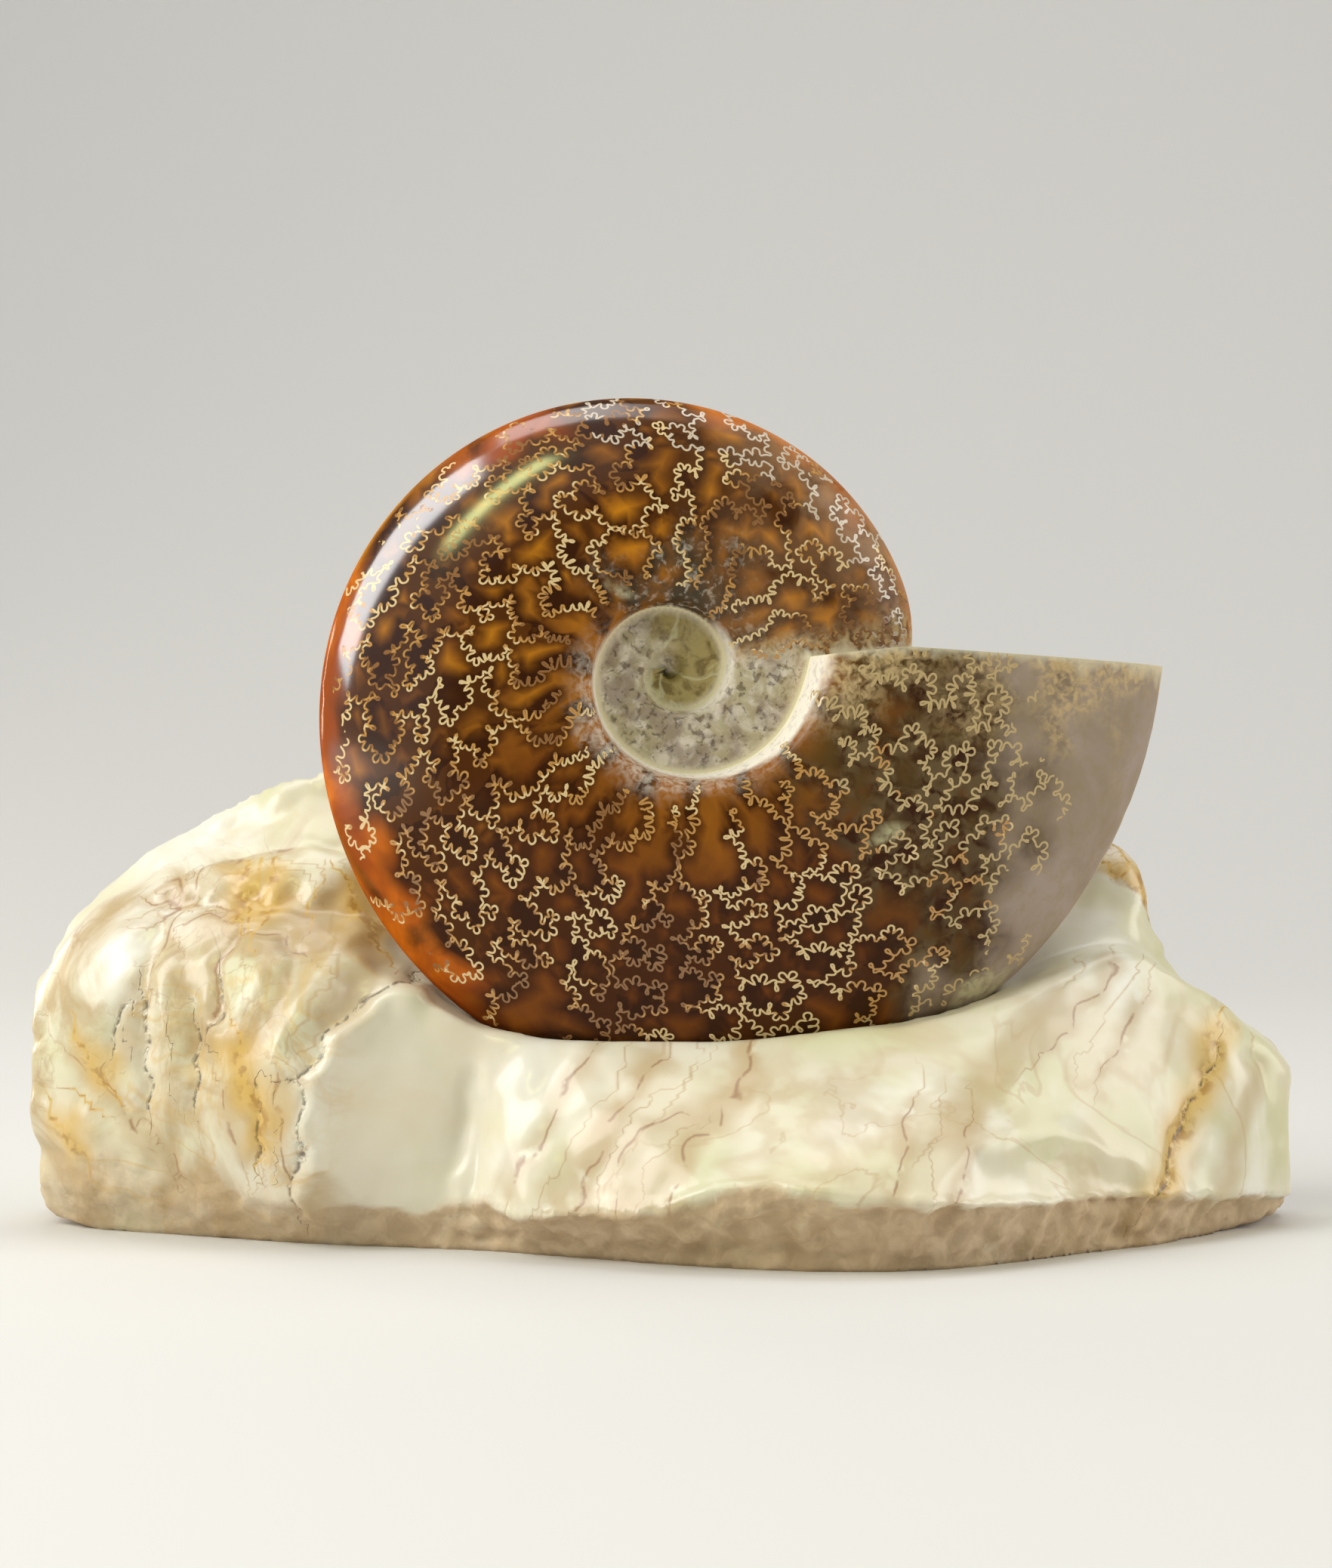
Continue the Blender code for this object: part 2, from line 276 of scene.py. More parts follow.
def folded_line(folds=10, points=300):
    """A line that swings from side to side: place along it, offset in folds, and which side.

    Slow waves make its folds uneven in length and swing, and a quick one makes them angular.
    """
    t = np.linspace(0, folds, folds * points + 1)
    phase = t + 0.10 * np.sin(TURN * 0.31 * t + 0.5)
    swing = FOLD_TURN * (1 + 0.10 * np.sin(TURN * 0.23 * t + 2.0))
    heading = swing * np.sin(TURN * phase) + 0.30 * np.sin(TURN * 3 * phase + 0.8)
    heading += 0.16 * np.sin(TURN * 0.37 * t + 1)
    on = np.concatenate(([0.0], np.cumsum(np.cos(heading[:-1]))))
    off = np.concatenate(([0.0], np.cumsum(np.sin(heading[:-1]))))
    off -= smoothed(off, points // 2)
    spread = np.percentile(off, 98) - np.percentile(off, 2)
    return on / on[-1] * folds, off / spread, -np.cos(TURN * phase)


def suture_bases():
    """One folded line for each chamber wall, each nested in the one before it."""
    place, offset, side = folded_line()
    slow = [wave_field(seed, 8, 12, 22) for seed in (31, 32)]
    quick = [wave_field(seed, 10, 6, 11) for seed in (33, 34)]
    lines = []
    start, number = FIRST_SUTURE, 0
    while start < LAST_SUTURE:
        folds = np.interp(start, *SUTURE_FOLDS)
        shifted = place + 0.10 * np.sin(number * 2.4 + place * 1.3)
        kept = shifted <= folds
        out = np.clip(shifted[kept] / folds, 0, 1)
        inner_end = SUTURE_START + SUTURE_STAGGER * (number % 2)
        along = inner_end + (SUTURE_END - inner_end) * (0.8 * out + 0.2 * out * out)
        radius, length = section(np.full_like(along, start), along)
        spacing = radius * np.interp(start, *SUTURE_SPACING)
        height = np.minimum(FOLD_SHARE * spacing, FOLD_HEIGHT) * (0.3 + 0.7 * ramp(0.05, 0.32, out))
        height *= 1 + 0.12 * np.sin(number * 1.7 + shifted[kept] * 2.2)
        angle = start + offset[kept] * height / radius - 0.10 * np.sin(math.pi * out) + 0.05
        # The same waves move neighbouring lines, which so wander together and don't cross.
        points = coil_place(angle, along)
        push = 0.9 * ramp(0.06, 0.25, along)
        x, z = points[:, 0], points[:, 2]
        angle = angle + push * (1.2 * slow[0](x, z) + 0.5 * quick[0](x, z)) / radius
        along = along + push * (1.1 * slow[1](x, z) + 0.5 * quick[1](x, z)) / length
        lines.append(respaced((angle, along, side[kept], side[kept]), LINE_STEP))
        start += float(np.interp(start, *SUTURE_SPACING))
        number += 1
    return lines


def strand_gaps(lines, reach, own):
    """How near another strand comes to each point of each line, up to reach.

    Points of the same line count from own millimetres along it on, where it has doubled back.
    """
    places = [coil_place(line[0], line[1]) for line, _ in lines]
    gaps = []
    for number, (points, (_, run)) in enumerate(zip(places, lines)):
        nearest = np.full(len(points), reach)
        for other in (number - 2, number - 1, number + 1, number + 2):
            if 0 <= other < len(lines):
                apart = points[:, None] - places[other][None, ::2]
                nearest = np.minimum(nearest, np.sqrt((apart**2).sum(-1)).min(1))
        apart = np.sqrt(((points[:, None] - points[None]) ** 2).sum(-1))
        between_them = np.abs(run[:, None] - run[None])
        doubled_back = (between_them > own) & (between_them > 1.7 * apart)
        apart = np.where(doubled_back, apart, reach)
        gaps.append(smoothed(np.minimum(nearest, apart.min(1)), 2))
    return gaps


def frilled(lines, gaps, share, step, wavelength, height, draw):
    """The lines with lobules raised along them, nowhere further than a share of the gap."""
    made = []
    finer = round(LINE_STEP / FRILL_STEP)
    for (line, run), gap in zip(lines, gaps):
        around, across, radius, length = headings(line, 4)
        wave = wavelength(line, radius)
        rise = np.minimum(height(line, radius), share * gap)
        rise *= ramp(0, 1.0, run) * ramp(run[-1], run[-1] - 1.0, run)
        turning = np.gradient(around) * across - np.gradient(across) * around
        bending = smoothed(turning / (run[1] - run[0]), 3)
        rise = np.minimum(rise, BEND_LIMIT / (smoothed(np.abs(bending), 4) + 1e-9))
        bent = 2.0 * bending
        phase = np.cumsum(TURN * (run[1] - run[0]) / wave) + draw.uniform(0, TURN)
        fine = np.linspace(0, len(run) - 1, (len(run) - 1) * finer + 1)
        columns = (line[0], line[1], line[2], around, across, radius, length, wave, rise, phase, bent)
        sampled = [np.interp(fine, np.arange(len(run)), values) for values in columns]
        angle, along, side, around, across, radius, length, wave, rise, phase, bent = sampled
        out = np.sin(phase) + ROUNDING * np.cos(2 * phase)
        out = rise * (out + np.clip(bent, -LARGEST_BENT, LARGEST_BENT))
        slide = OVERHANG * np.sin(2 * phase) + BULGE * np.cos(phase)
        slide *= -wave * np.minimum(rise / (0.3 * wave), 1.0)
        angle = angle + (across * out + around * slide) / radius
        along = along + (across * slide - around * out) / length
        made.append(respaced((angle, along, side, np.sin(phase)), step))
    return made


def suture_lines():
    """Every suture with its large folds, smaller lobes and, towards the edge, long fingers."""
    draw = np.random.default_rng(22)
    lobes, frill, heights = (wave_field(seed, 10, 1.0, 6.0) for seed in (1, 2, 3))

    def lobe_length(line, _):
        """Length of a lobe along its line, in millimetres."""
        return 5.0 * (1 + 0.12 * lobes(line[0] * 7, line[1] * 12))

    def lobe_height(line, radius):
        """How far a lobe may stand off its line, in millimetres."""
        return (0.35 + 1.2 * ramp(16, 34, radius)) * (1 - 0.15 * ramp(1.9, 2.7, line[0]))

    def fingers(line):
        """1 on backward lobes of the outer flank, where the lobules draw out into fingers."""
        angle, along, side, _ = line
        outer = 0.8 * ramp(1.9, 2.7, angle) * ramp(0.0, 0.25, along)
        left = between(2.6, 3.1, 3.3, 3.9, angle) * ramp(0.5, 0.25, along)
        return np.maximum(outer, left) * (0.25 + 0.75 * np.clip(0.5 - 1.1 * side, 0, 1))

    def lobule_size(radius):
        """How large the lobules are at a radius, as a share of their usual size."""
        return np.clip(0.70 + 0.0065 * radius, 0.75, 1.12)

    def lobule_length(line, radius):
        """Length of a lobule along its line, in millimetres."""
        varied = 1 + 0.14 * frill(line[0] * 9, line[1] * 20)
        return 2.0 * lobule_size(radius) * varied * (1 - 0.12 * fingers(line))

    def lobule_height(line, radius):
        """How far a lobule may stand off its line, in millimetres."""
        varied = 1 + 0.2 * heights(line[0] * 11, line[1] * 22)
        return (0.72 + 0.85 * fingers(line)) * lobule_size(radius) * varied

    lines = suture_bases()
    gaps = strand_gaps(lines, 8.0, 4.0)
    lines = frilled(lines, gaps, 0.4, LINE_STEP, lobe_length, lobe_height, draw)
    gaps = strand_gaps(lines, 6.0, 3.0)
    return frilled(lines, gaps, 0.36, CURVE_STEP, lobule_length, lobule_height, draw)


# ---- The shell's mesh: one triangulated sheet for each side, with the sutures as strips of it ----
SUTURE_WIDTH = 0.38  # millimetres, as the other lengths here
SUTURE_POINT_STEP = 0.54  # along the edges of a suture's strip, where it runs straight
SHORTEST_STRIP = 6  # points
SHEET_STEP = 2.7  # between the points of the sheet's own grid
ROW_STEP = 1.1  # along its closer rows by the seams
FILL_CLEARANCE = 0.8  # between those points and a suture
OUTLINE_STEPS = 960  # along the seam
SAWN_POINTS = 90  # along the edge of the sawn end
MOUTH_POINTS = 46  # along the older whorl where the sawn end meets it
WALL_ROWS = (0.35, 0.8, 1.5, 2.4, 3.4, 4.6, 5.8, 7.2)  # millimetres from the inner seam
COVERED_ROWS = (0.35, 0.9, 1.7)  # millimetres short of the next whorl's seam
SUTURE_TONES = ("suture_cream", "suture_gold", "suture_brown", "suture_white", "suture_beige")
CREAM, GOLD, BROWN, WHITE, BEIGE = range(1, len(SUTURE_TONES) + 1)
SAWN_STEP = 2.0  # between the points within the sawn end
MIRROR = np.array((1.0, -1.0, 1.0))  # turns the shell's front into its back
UPPER_RIGHT_END = 1.9  # angle up to which the upper right reaches, where sutures run to the edge
SAWN_SIDE = 5.2  # angle from which the side is coloured by the sawn end
MOUTH_START = ((5.25, 5.45, 5.6, 5.75, 5.93, 6.05, 6.28), (1.05, 0.93, 0.87, 0.80, 0.72, 0.64, 0.56))


class Sheet:
    """The flat sheet that the shell's side unrolls to: round the coil, then across it, in mm."""

    def __init__(self):
        """Measure the runs along the coil, well inside its outer edge."""
        self.angles = np.linspace(FIRST_ANGLE, TURN, 6000)
        radius = 0.62 * quarter_value(VENTER_RADII, self.angles)
        steps = np.diff(self.angles) * (radius[1:] + radius[:-1]) / 2
        self.runs = np.concatenate(([0.0], np.cumsum(steps)))

    def flat(self, angle, along):
        """From angle and along to the flat sheet."""
        _, length = section(angle, along)
        return np.interp(angle, self.angles, self.runs), along * length

    def rolled(self, run, across):
        """From the flat sheet to angle and along."""
        angle = np.interp(run, self.runs, self.angles)
        _, length = section(angle, np.zeros_like(angle))
        return angle, across / length


def top_along(angle):
    """Where a section's sheet ends: at the next whorl's seam, or at the outer edge."""
    return np.where(np.asarray(angle) > 1e-9, 1.0, covered_along(angle))


def mouth_line():
    """Places along the section at angle 0, from the sawn whorl's seam to the outer edge."""
    covered = covered_along(np.zeros(1))[0]
    return covered + (1 - covered) * np.linspace(0, 1, MOUTH_POINTS)


def sheet_outline():
    """Corner-to-corner loop of the sheet, as angle and along, without its first point again."""
    steps = range(OUTLINE_STEPS + 1)
    seam = np.array([FIRST_ANGLE + (TURN - FIRST_ANGLE) * k / OUTLINE_STEPS for k in steps])
    inner_top = seam[seam < -1e-6][::-1]
    outer_top = seam[seam > 1e-6][::-1]
    sawn = np.linspace(0, 1, SAWN_POINTS)[1:-1]
    mouth = mouth_line()
    start = covered_along(np.array([FIRST_ANGLE]))[0] * np.linspace(0, 1, 8)[1:-1]
    parts = [
        (seam, np.zeros_like(seam)),
        (np.full_like(sawn, TURN), sawn),
        (outer_top, np.ones_like(outer_top)),
        (np.zeros_like(mouth), mouth[::-1]),
        (inner_top, covered_along(inner_top)),
        (np.full_like(start, FIRST_ANGLE), start[::-1]),
    ]
    return np.concatenate([p[0] for p in parts]), np.concatenate([p[1] for p in parts])


def suture_strips(lines, sheet):
    """The two edges of each suture's strip, cut where it leaves the sheet, and its middle line."""
    strips, middles = [], []
    shift = SUTURE_WIDTH / 2
    for line, run in lines:
        around, across, radius, length = headings(line, 1)
        # Points stand closer together where the line turns sharply.
        turning = np.abs(np.gradient(around) * across - np.gradient(across) * around)
        sharp = np.clip(turning / (run[1] - run[0]) * 0.8, 0, 1)
        cost = np.cumsum((0.75 + 0.75 * smoothed(sharp, 2)) / SUTURE_POINT_STEP) * (run[1] - run[0])
        kept = np.interp(np.arange(0, cost[-1]), cost, np.arange(len(run)))
        columns = (line[0], line[1], line[3], around, across, radius, length)
        picked = [np.interp(kept, np.arange(len(run)), values) for values in columns]
        angle, along, tip, around, across, radius, length = picked
        edge = shift / radius
        inside = (angle > 1.3 * edge) & (angle < TURN - 1.3 * edge)
        inside &= (along > 0.02) & (along < 0.985)
        for stretch in np.split(np.arange(len(kept)), np.flatnonzero(~inside)):
            stretch = stretch[inside[stretch]]
            if len(stretch) < SHORTEST_STRIP:
                continue
            a, v, r, l = angle[stretch], along[stretch], radius[stretch], length[stretch]
            da, dv = across[stretch] * shift / r, -around[stretch] * shift / l
            left, right = sheet.flat(a + da, v + dv), sheet.flat(a - da, v - dv)
            strips.append((np.stack(left, -1), np.stack(right, -1)))
            middles.append((a, v, tip[stretch], around[stretch], across[stretch]))
    return strips, middles


def sheet_fill(sheet):
    """Points that fill the sheet between the sutures, closer together near its seams."""

    def row(end, turn_on):
        """Angles from the coil's start to the end, spaced evenly on a seam, and their lengths."""
        angle = np.arange(FIRST_ANGLE + 0.05, end, 0.02)
        radius = np.maximum(quarter_value(SEAM_RADII, angle + turn_on), 3.0)
        step = np.cumsum(radius * 0.02) / ROW_STEP
        angle = np.interp(np.arange(1, step[-1]), step, angle)
        return angle, section(angle, np.zeros_like(angle))[1]

    points = []
    for distance in WALL_ROWS:
        angle, length = row(TURN - 0.01, 0.0)
        points.append((angle, distance / length))
    for distance in COVERED_ROWS:
        angle, length = row(-0.01, TURN)
        points.append((angle, covered_along(angle) - distance / length))
    angle, along = (np.concatenate(columns) for columns in zip(*points))

    tallest = ARC_STRETCH * (VENTER_RADII[-2] - SEAM_RADII[-2])
    rows = np.arange(0.4, tallest, SHEET_STEP * 0.87)
    grid = [
        (np.arange(0.3 + (k % 2) * SHEET_STEP / 2, sheet.runs[-1], SHEET_STEP), row_height)
        for k, row_height in enumerate(rows)
    ]
    run = np.concatenate([g[0] for g in grid])
    across = np.concatenate([np.full(len(g[0]), g[1]) for g in grid])
    jitter = np.random.default_rng(4).uniform(-0.3, 0.3, (2, len(run)))
    grid_angle, grid_along = sheet.rolled(run + jitter[0], across + jitter[1])
    _, length = section(grid_angle, grid_along)
    clear = grid_along * length > WALL_ROWS[-1] + 0.5
    below = np.where(grid_angle > 0, 1.0 - 0.6 / length, covered_along(grid_angle) - 2.4 / length)
    clear &= (grid_along < below) & (grid_angle < TURN - 0.009) & (grid_angle > FIRST_ANGLE + 0.05)
    clear &= np.abs(grid_angle) > 0.012
    angle = np.concatenate((angle, grid_angle[clear]))
    along = np.concatenate((along, grid_along[clear]))
    sensible = (along > 0.005) & (along < top_along(angle) - 0.004)
    return angle[sensible], along[sensible]


def off_segments(places, start, end):
    """How far each place is from its own straight piece."""
    way = end - start
    share = ((places - start) * way).sum(1) / ((way**2).sum(1) + 1e-9)
    return np.linalg.norm(places - start - np.clip(share, 0, 1)[:, None] * way, axis=1)


def tree_of(places):
    """A tree that finds the nearest of some flat or solid places."""
    tree = KDTree(len(places))
    for number, place in enumerate(places):
        tree.insert((*place, 0)[:3], number)
    tree.balance()
    return tree


class SutureMap:
    """Finds the suture nearest to a place on the flat sheet."""

    def __init__(self, sheet, middles):
        """Join the middle lines, and note each point's neighbours on its own line."""
        angle, along, self.tip, around, across = (np.concatenate(c) for c in zip(*middles))
        self.centres = np.stack(sheet.flat(angle, along), -1)
        self.forward = np.stack((across, -around), -1)
        ends = np.cumsum([len(middle[0]) for middle in middles])
        number = np.arange(len(self.centres))
        self.before, self.after = number - 1, number + 1
        self.before[ends[:-1]] += 1
        self.before[0] = 0
        self.after[ends - 1] -= 1
        self.tree = tree_of(self.centres)

    def find(self, places):
        """How far the nearest suture is, 1 or -1 for the side of it, and how far out its lobule."""
        nearest = np.array([self.tree.find((x, y, 0))[1] for x, y in places])
        centres = self.centres[nearest]
        side = np.sign(((places - centres) * self.forward[nearest]).sum(1))
        behind = off_segments(places, centres, self.centres[self.before[nearest]])
        ahead = off_segments(places, centres, self.centres[self.after[nearest]])
        return np.minimum(behind, ahead), side, self.tip[nearest]


def triangulated(points, edges):
    """Places, triangles and middles of triangles of a flat sheet in which the edges are kept."""
    flat = [Vector((float(x), float(y))) for x, y in points]
    made, _, faces, *_ = delaunay_2d_cdt(flat, edges, [], 0, 1e-5, False)
    place, faces = np.array([(v.x, v.y) for v in made]), np.array(faces)
    return place, faces, place[faces].mean(1)


def shell_sheet(lines):
    """Angles, along values, triangles and flat places of one side's sheet, and its sutures."""
    sheet = Sheet()
    outline = np.stack(sheet.flat(*sheet_outline()), -1)
    strips, middles = suture_strips(lines, sheet)
    sutures = SutureMap(sheet, middles)
    points, count = [outline], len(outline)
    edges = [(k, (k + 1) % count) for k in range(count)]
    for left, right in strips:
        for border in (left, right):
            points.append(border)
            edges += [(count + k, count + k + 1) for k in range(len(border) - 1)]
            count += len(border)
        first, second = count - 2 * len(left), count - len(left)
        edges += [(first, second), (second - 1, count - 1)]
    fill = np.stack(sheet.flat(*sheet_fill(sheet)), -1)
    points.append(fill[sutures.find(fill)[0] > FILL_CLEARANCE])
    place, faces, middle = triangulated(np.concatenate(points), edges)

    # Only triangles inside the outline stay; its upper side steps up where the sawn end stands.
    outline_angle, _ = sheet.rolled(outline[:, 0], outline[:, 1])
    seam_count = np.argmax(outline_angle >= TURN - 1e-9) + 1
    top = outline[seam_count:][::-1]
    mouth_run = float(sheet.flat(np.zeros(1), np.zeros(1))[0][0])
    inner_top, outer_top = top[top[:, 0] < mouth_run - 0.01], top[top[:, 0] > mouth_run + 0.01]
    ends = [np.array(sheet.flat(np.zeros(1), np.array([v]))).T for v in (covered_along(0.0), 1.0)]
    inner_top, outer_top = np.vstack((inner_top, ends[0])), np.vstack((ends[1], outer_top))
    inside_inner = middle[:, 1] < np.interp(middle[:, 0], inner_top[:, 0], inner_top[:, 1])
    inside_outer = middle[:, 1] < np.interp(middle[:, 0], outer_top[:, 0], outer_top[:, 1])
    faces = faces[np.where(middle[:, 0] < mouth_run, inside_inner, inside_outer)]
    used, faces = compacted(faces, len(place))
    place = place[used]
    angle, along = sheet.rolled(place[:, 0], place[:, 1])
    return angle, along, faces, place, sutures


def compacted(faces, count):
    """Numbers of the points that the faces use, and the faces by their place among those."""
    used = np.unique(faces)
    renumbered = np.full(count, -1)
    renumbered[used] = np.arange(len(used))
    return used, renumbered[faces]


def welded(points, candidates, reach=0.003):
    """For each point, the first of those that lie in the same place; candidates are in order."""
    tree = tree_of(points[candidates])
    target = np.arange(len(points))
    for number in candidates:
        target[number] = candidates[min(index for _, index, _ in tree.find_range(points[number], reach))]
    return target


def wound(points, faces, normals):
    """The triangles, turned over if they face against the normals on the whole."""
    a, b, c = (points[faces[:, corner]] for corner in range(3))
    against = (np.cross(b - a, c - a) * normals).sum() < 0
    return faces[:, ::-1] if against else faces


def sheet_normals(angle, along):
    """Outward normals of the front side, from the surface itself."""
    turn, step = 0.004, 0.002
    before, after = np.maximum(angle - turn, FIRST_ANGLE), np.minimum(angle + turn, TURN)
    around = coil_place(after, along) - coil_place(before, along)
    low, high = np.maximum(along - step, 0.0), np.minimum(along + step, 1.0)
    across = coil_place(angle, high) - coil_place(angle, low)
    normals = np.cross(across, around)
    return normals / (np.linalg.norm(normals, axis=1)[:, None] + 1e-12)


def sawn_face():
    """Points and triangles of the flat sawn end, in the coil's own axes."""
    edge = np.concatenate(([0.0], np.linspace(0, 1, SAWN_POINTS)[1:-1], [1.0]))
    mouth = mouth_line()
    outer = coil_place(np.full_like(edge, TURN), edge)
    inner = coil_place(np.zeros_like(mouth), mouth)
    loop = (outer, outer[-2::-1] * MIRROR, inner[1:] * MIRROR, inner[-2:0:-1])
    loop = np.concatenate(loop)[:, :2]
    across = np.arange(-18, 18.1, SAWN_STEP)
    radii = np.arange(35, 104, SAWN_STEP)
    grid = np.array([(r, w) for r in radii for w in across])
    tree = tree_of(loop)
    clear = np.array([tree.find((x, y, 0))[2] > 0.6 * SAWN_STEP for x, y in grid])
    edges = [(k, (k + 1) % len(loop)) for k in range(len(loop))]
    place, faces, middle = triangulated(np.concatenate((loop, grid[clear])), edges)
    wide = np.interp(middle[:, 0], outer[:, 0], -outer[:, 1], left=0)
    filled = np.interp(middle[:, 0], inner[:, 0], -inner[:, 1], right=0)
    faces = faces[(np.abs(middle[:, 1]) < wide) & (np.abs(middle[:, 1]) > filled)]
    return np.stack((place[:, 0], place[:, 1], cut_lift(place[:, 0])), -1), faces


def new_mesh(name, points, triangles, loop_normals, materials, numbers):
    """A mesh of triangles with its own normals, one material number for each triangle."""
    mesh = bpy.data.meshes.new(name)
    mesh.vertices.add(len(points))
    mesh.vertices.foreach_set("co", np.asarray(points, np.float32).ravel())
    mesh.loops.add(3 * len(triangles))
    mesh.loops.foreach_set("vertex_index", triangles.ravel().astype(np.int32))
    mesh.polygons.add(len(triangles))
    mesh.polygons.foreach_set("loop_start", np.arange(0, 3 * len(triangles), 3, dtype=np.int32))
    mesh.update(calc_edges=True)
    for made in materials:
        mesh.materials.append(made)
    mesh.polygons.foreach_set("material_index", np.asarray(numbers, np.int32))
    mesh.polygons.foreach_set("use_smooth", np.ones(len(triangles), bool))
    mesh.validate()
    mesh.normals_split_custom_set(loop_normals)
    return mesh


def border_points(faces):
    """Numbers of the points on the open border of a sheet of triangles."""
    edges = np.sort(np.concatenate((faces[:, :2], faces[:, 1:], faces[:, ::2])), axis=1)
    different, count = np.unique(edges, axis=0, return_counts=True)
    return np.unique(different[count == 1])


# Pale spots on the side: where they are from the coil's centre, their half length and half width
# in millimetres, and how far they lean.
PALE_MARKS = (
    (56.0, -57.5, 4.6, 3.6, 0.3),
    (36.5, -29.0, 3.6, 0.9, 0.7),
    (-8.6, 12.8, 2.4, 1.2, -0.6),
)


def pale_marks(x, z):
    """1 inside the pale spots, 0 away from them."""
    pale = np.zeros_like(x)
    for across, up, long, wide, lean in PALE_MARKS:
        lengthwise = (x - across) * math.cos(lean) + (z - up) * math.sin(lean)
        sideways = (z - up) * math.cos(lean) - (x - across) * math.sin(lean)
        pale += ramp(1.25, 0.8, np.hypot(lengthwise / long, sideways / wide))
    return np.clip(pale, 0, 1)


def mouth_start(angle):
    """How far along a section the plain grey mouth starts, at each angle near the sawn end."""
    return np.interp(angle, *MOUTH_START)


def suture_tone(angle, along, tip):
    """Which tone a suture has at a place: 0 for none, or its number among the tones from 1."""
    points = coil_place(angle, along)
    x, z = points[:, 0], points[:, 2]
    bright = 0.5 + 0.33 * wave_field(61, 12, 10, 26)(x, z)
    fade = 0.5 + 0.33 * wave_field(62, 12, 5, 12)(x, z)
    dim = 0.3 * between(2.0, 2.3, 3.0, 3.5, angle) * ramp(0.45, 0.2, along)
    dim += 0.35 * between(4.3, 4.5, 4.7, 4.9, angle) * ramp(0.4, 0.6, along)
    dim -= 0.3 * between(4.75, 4.95, 5.3, 5.6, angle) * ramp(0.35, 0.5, along)
    dim += 0.25 * ramp(5.3, 5.6, angle)
    bright = bright - dim + 0.22 * tip * ramp(0.15, 0.4, along)
    tone = np.where(bright > 0.60, CREAM, np.where(bright > 0.27, GOLD, BROWN))
    tone = np.where((along > 0.72) & (angle < UPPER_RIGHT_END) & (fade > 0.25), WHITE, tone)
    tone = np.where((tone == BROWN) & (angle > 5.1), GOLD, tone)
    to_mouth = along - mouth_start(angle) + 0.16 * (fade - 0.5)
    by_mouth = (to_mouth > -0.2) & (angle > SAWN_SIDE)
    tone = np.where((angle + 0.35 * fade > 5.85) | by_mouth, BEIGE, tone)
    off_edge = (along > 0.80 + 0.30 * fade) & (angle > UPPER_RIGHT_END) & (angle < SAWN_SIDE)
    off_seam = (along < 0.16) & (fade < 0.45)
    gone = (to_mouth > 0.0) | off_edge | off_seam | (pale_marks(x, z) > 0.3)
    return np.where(gone, 0, tone)


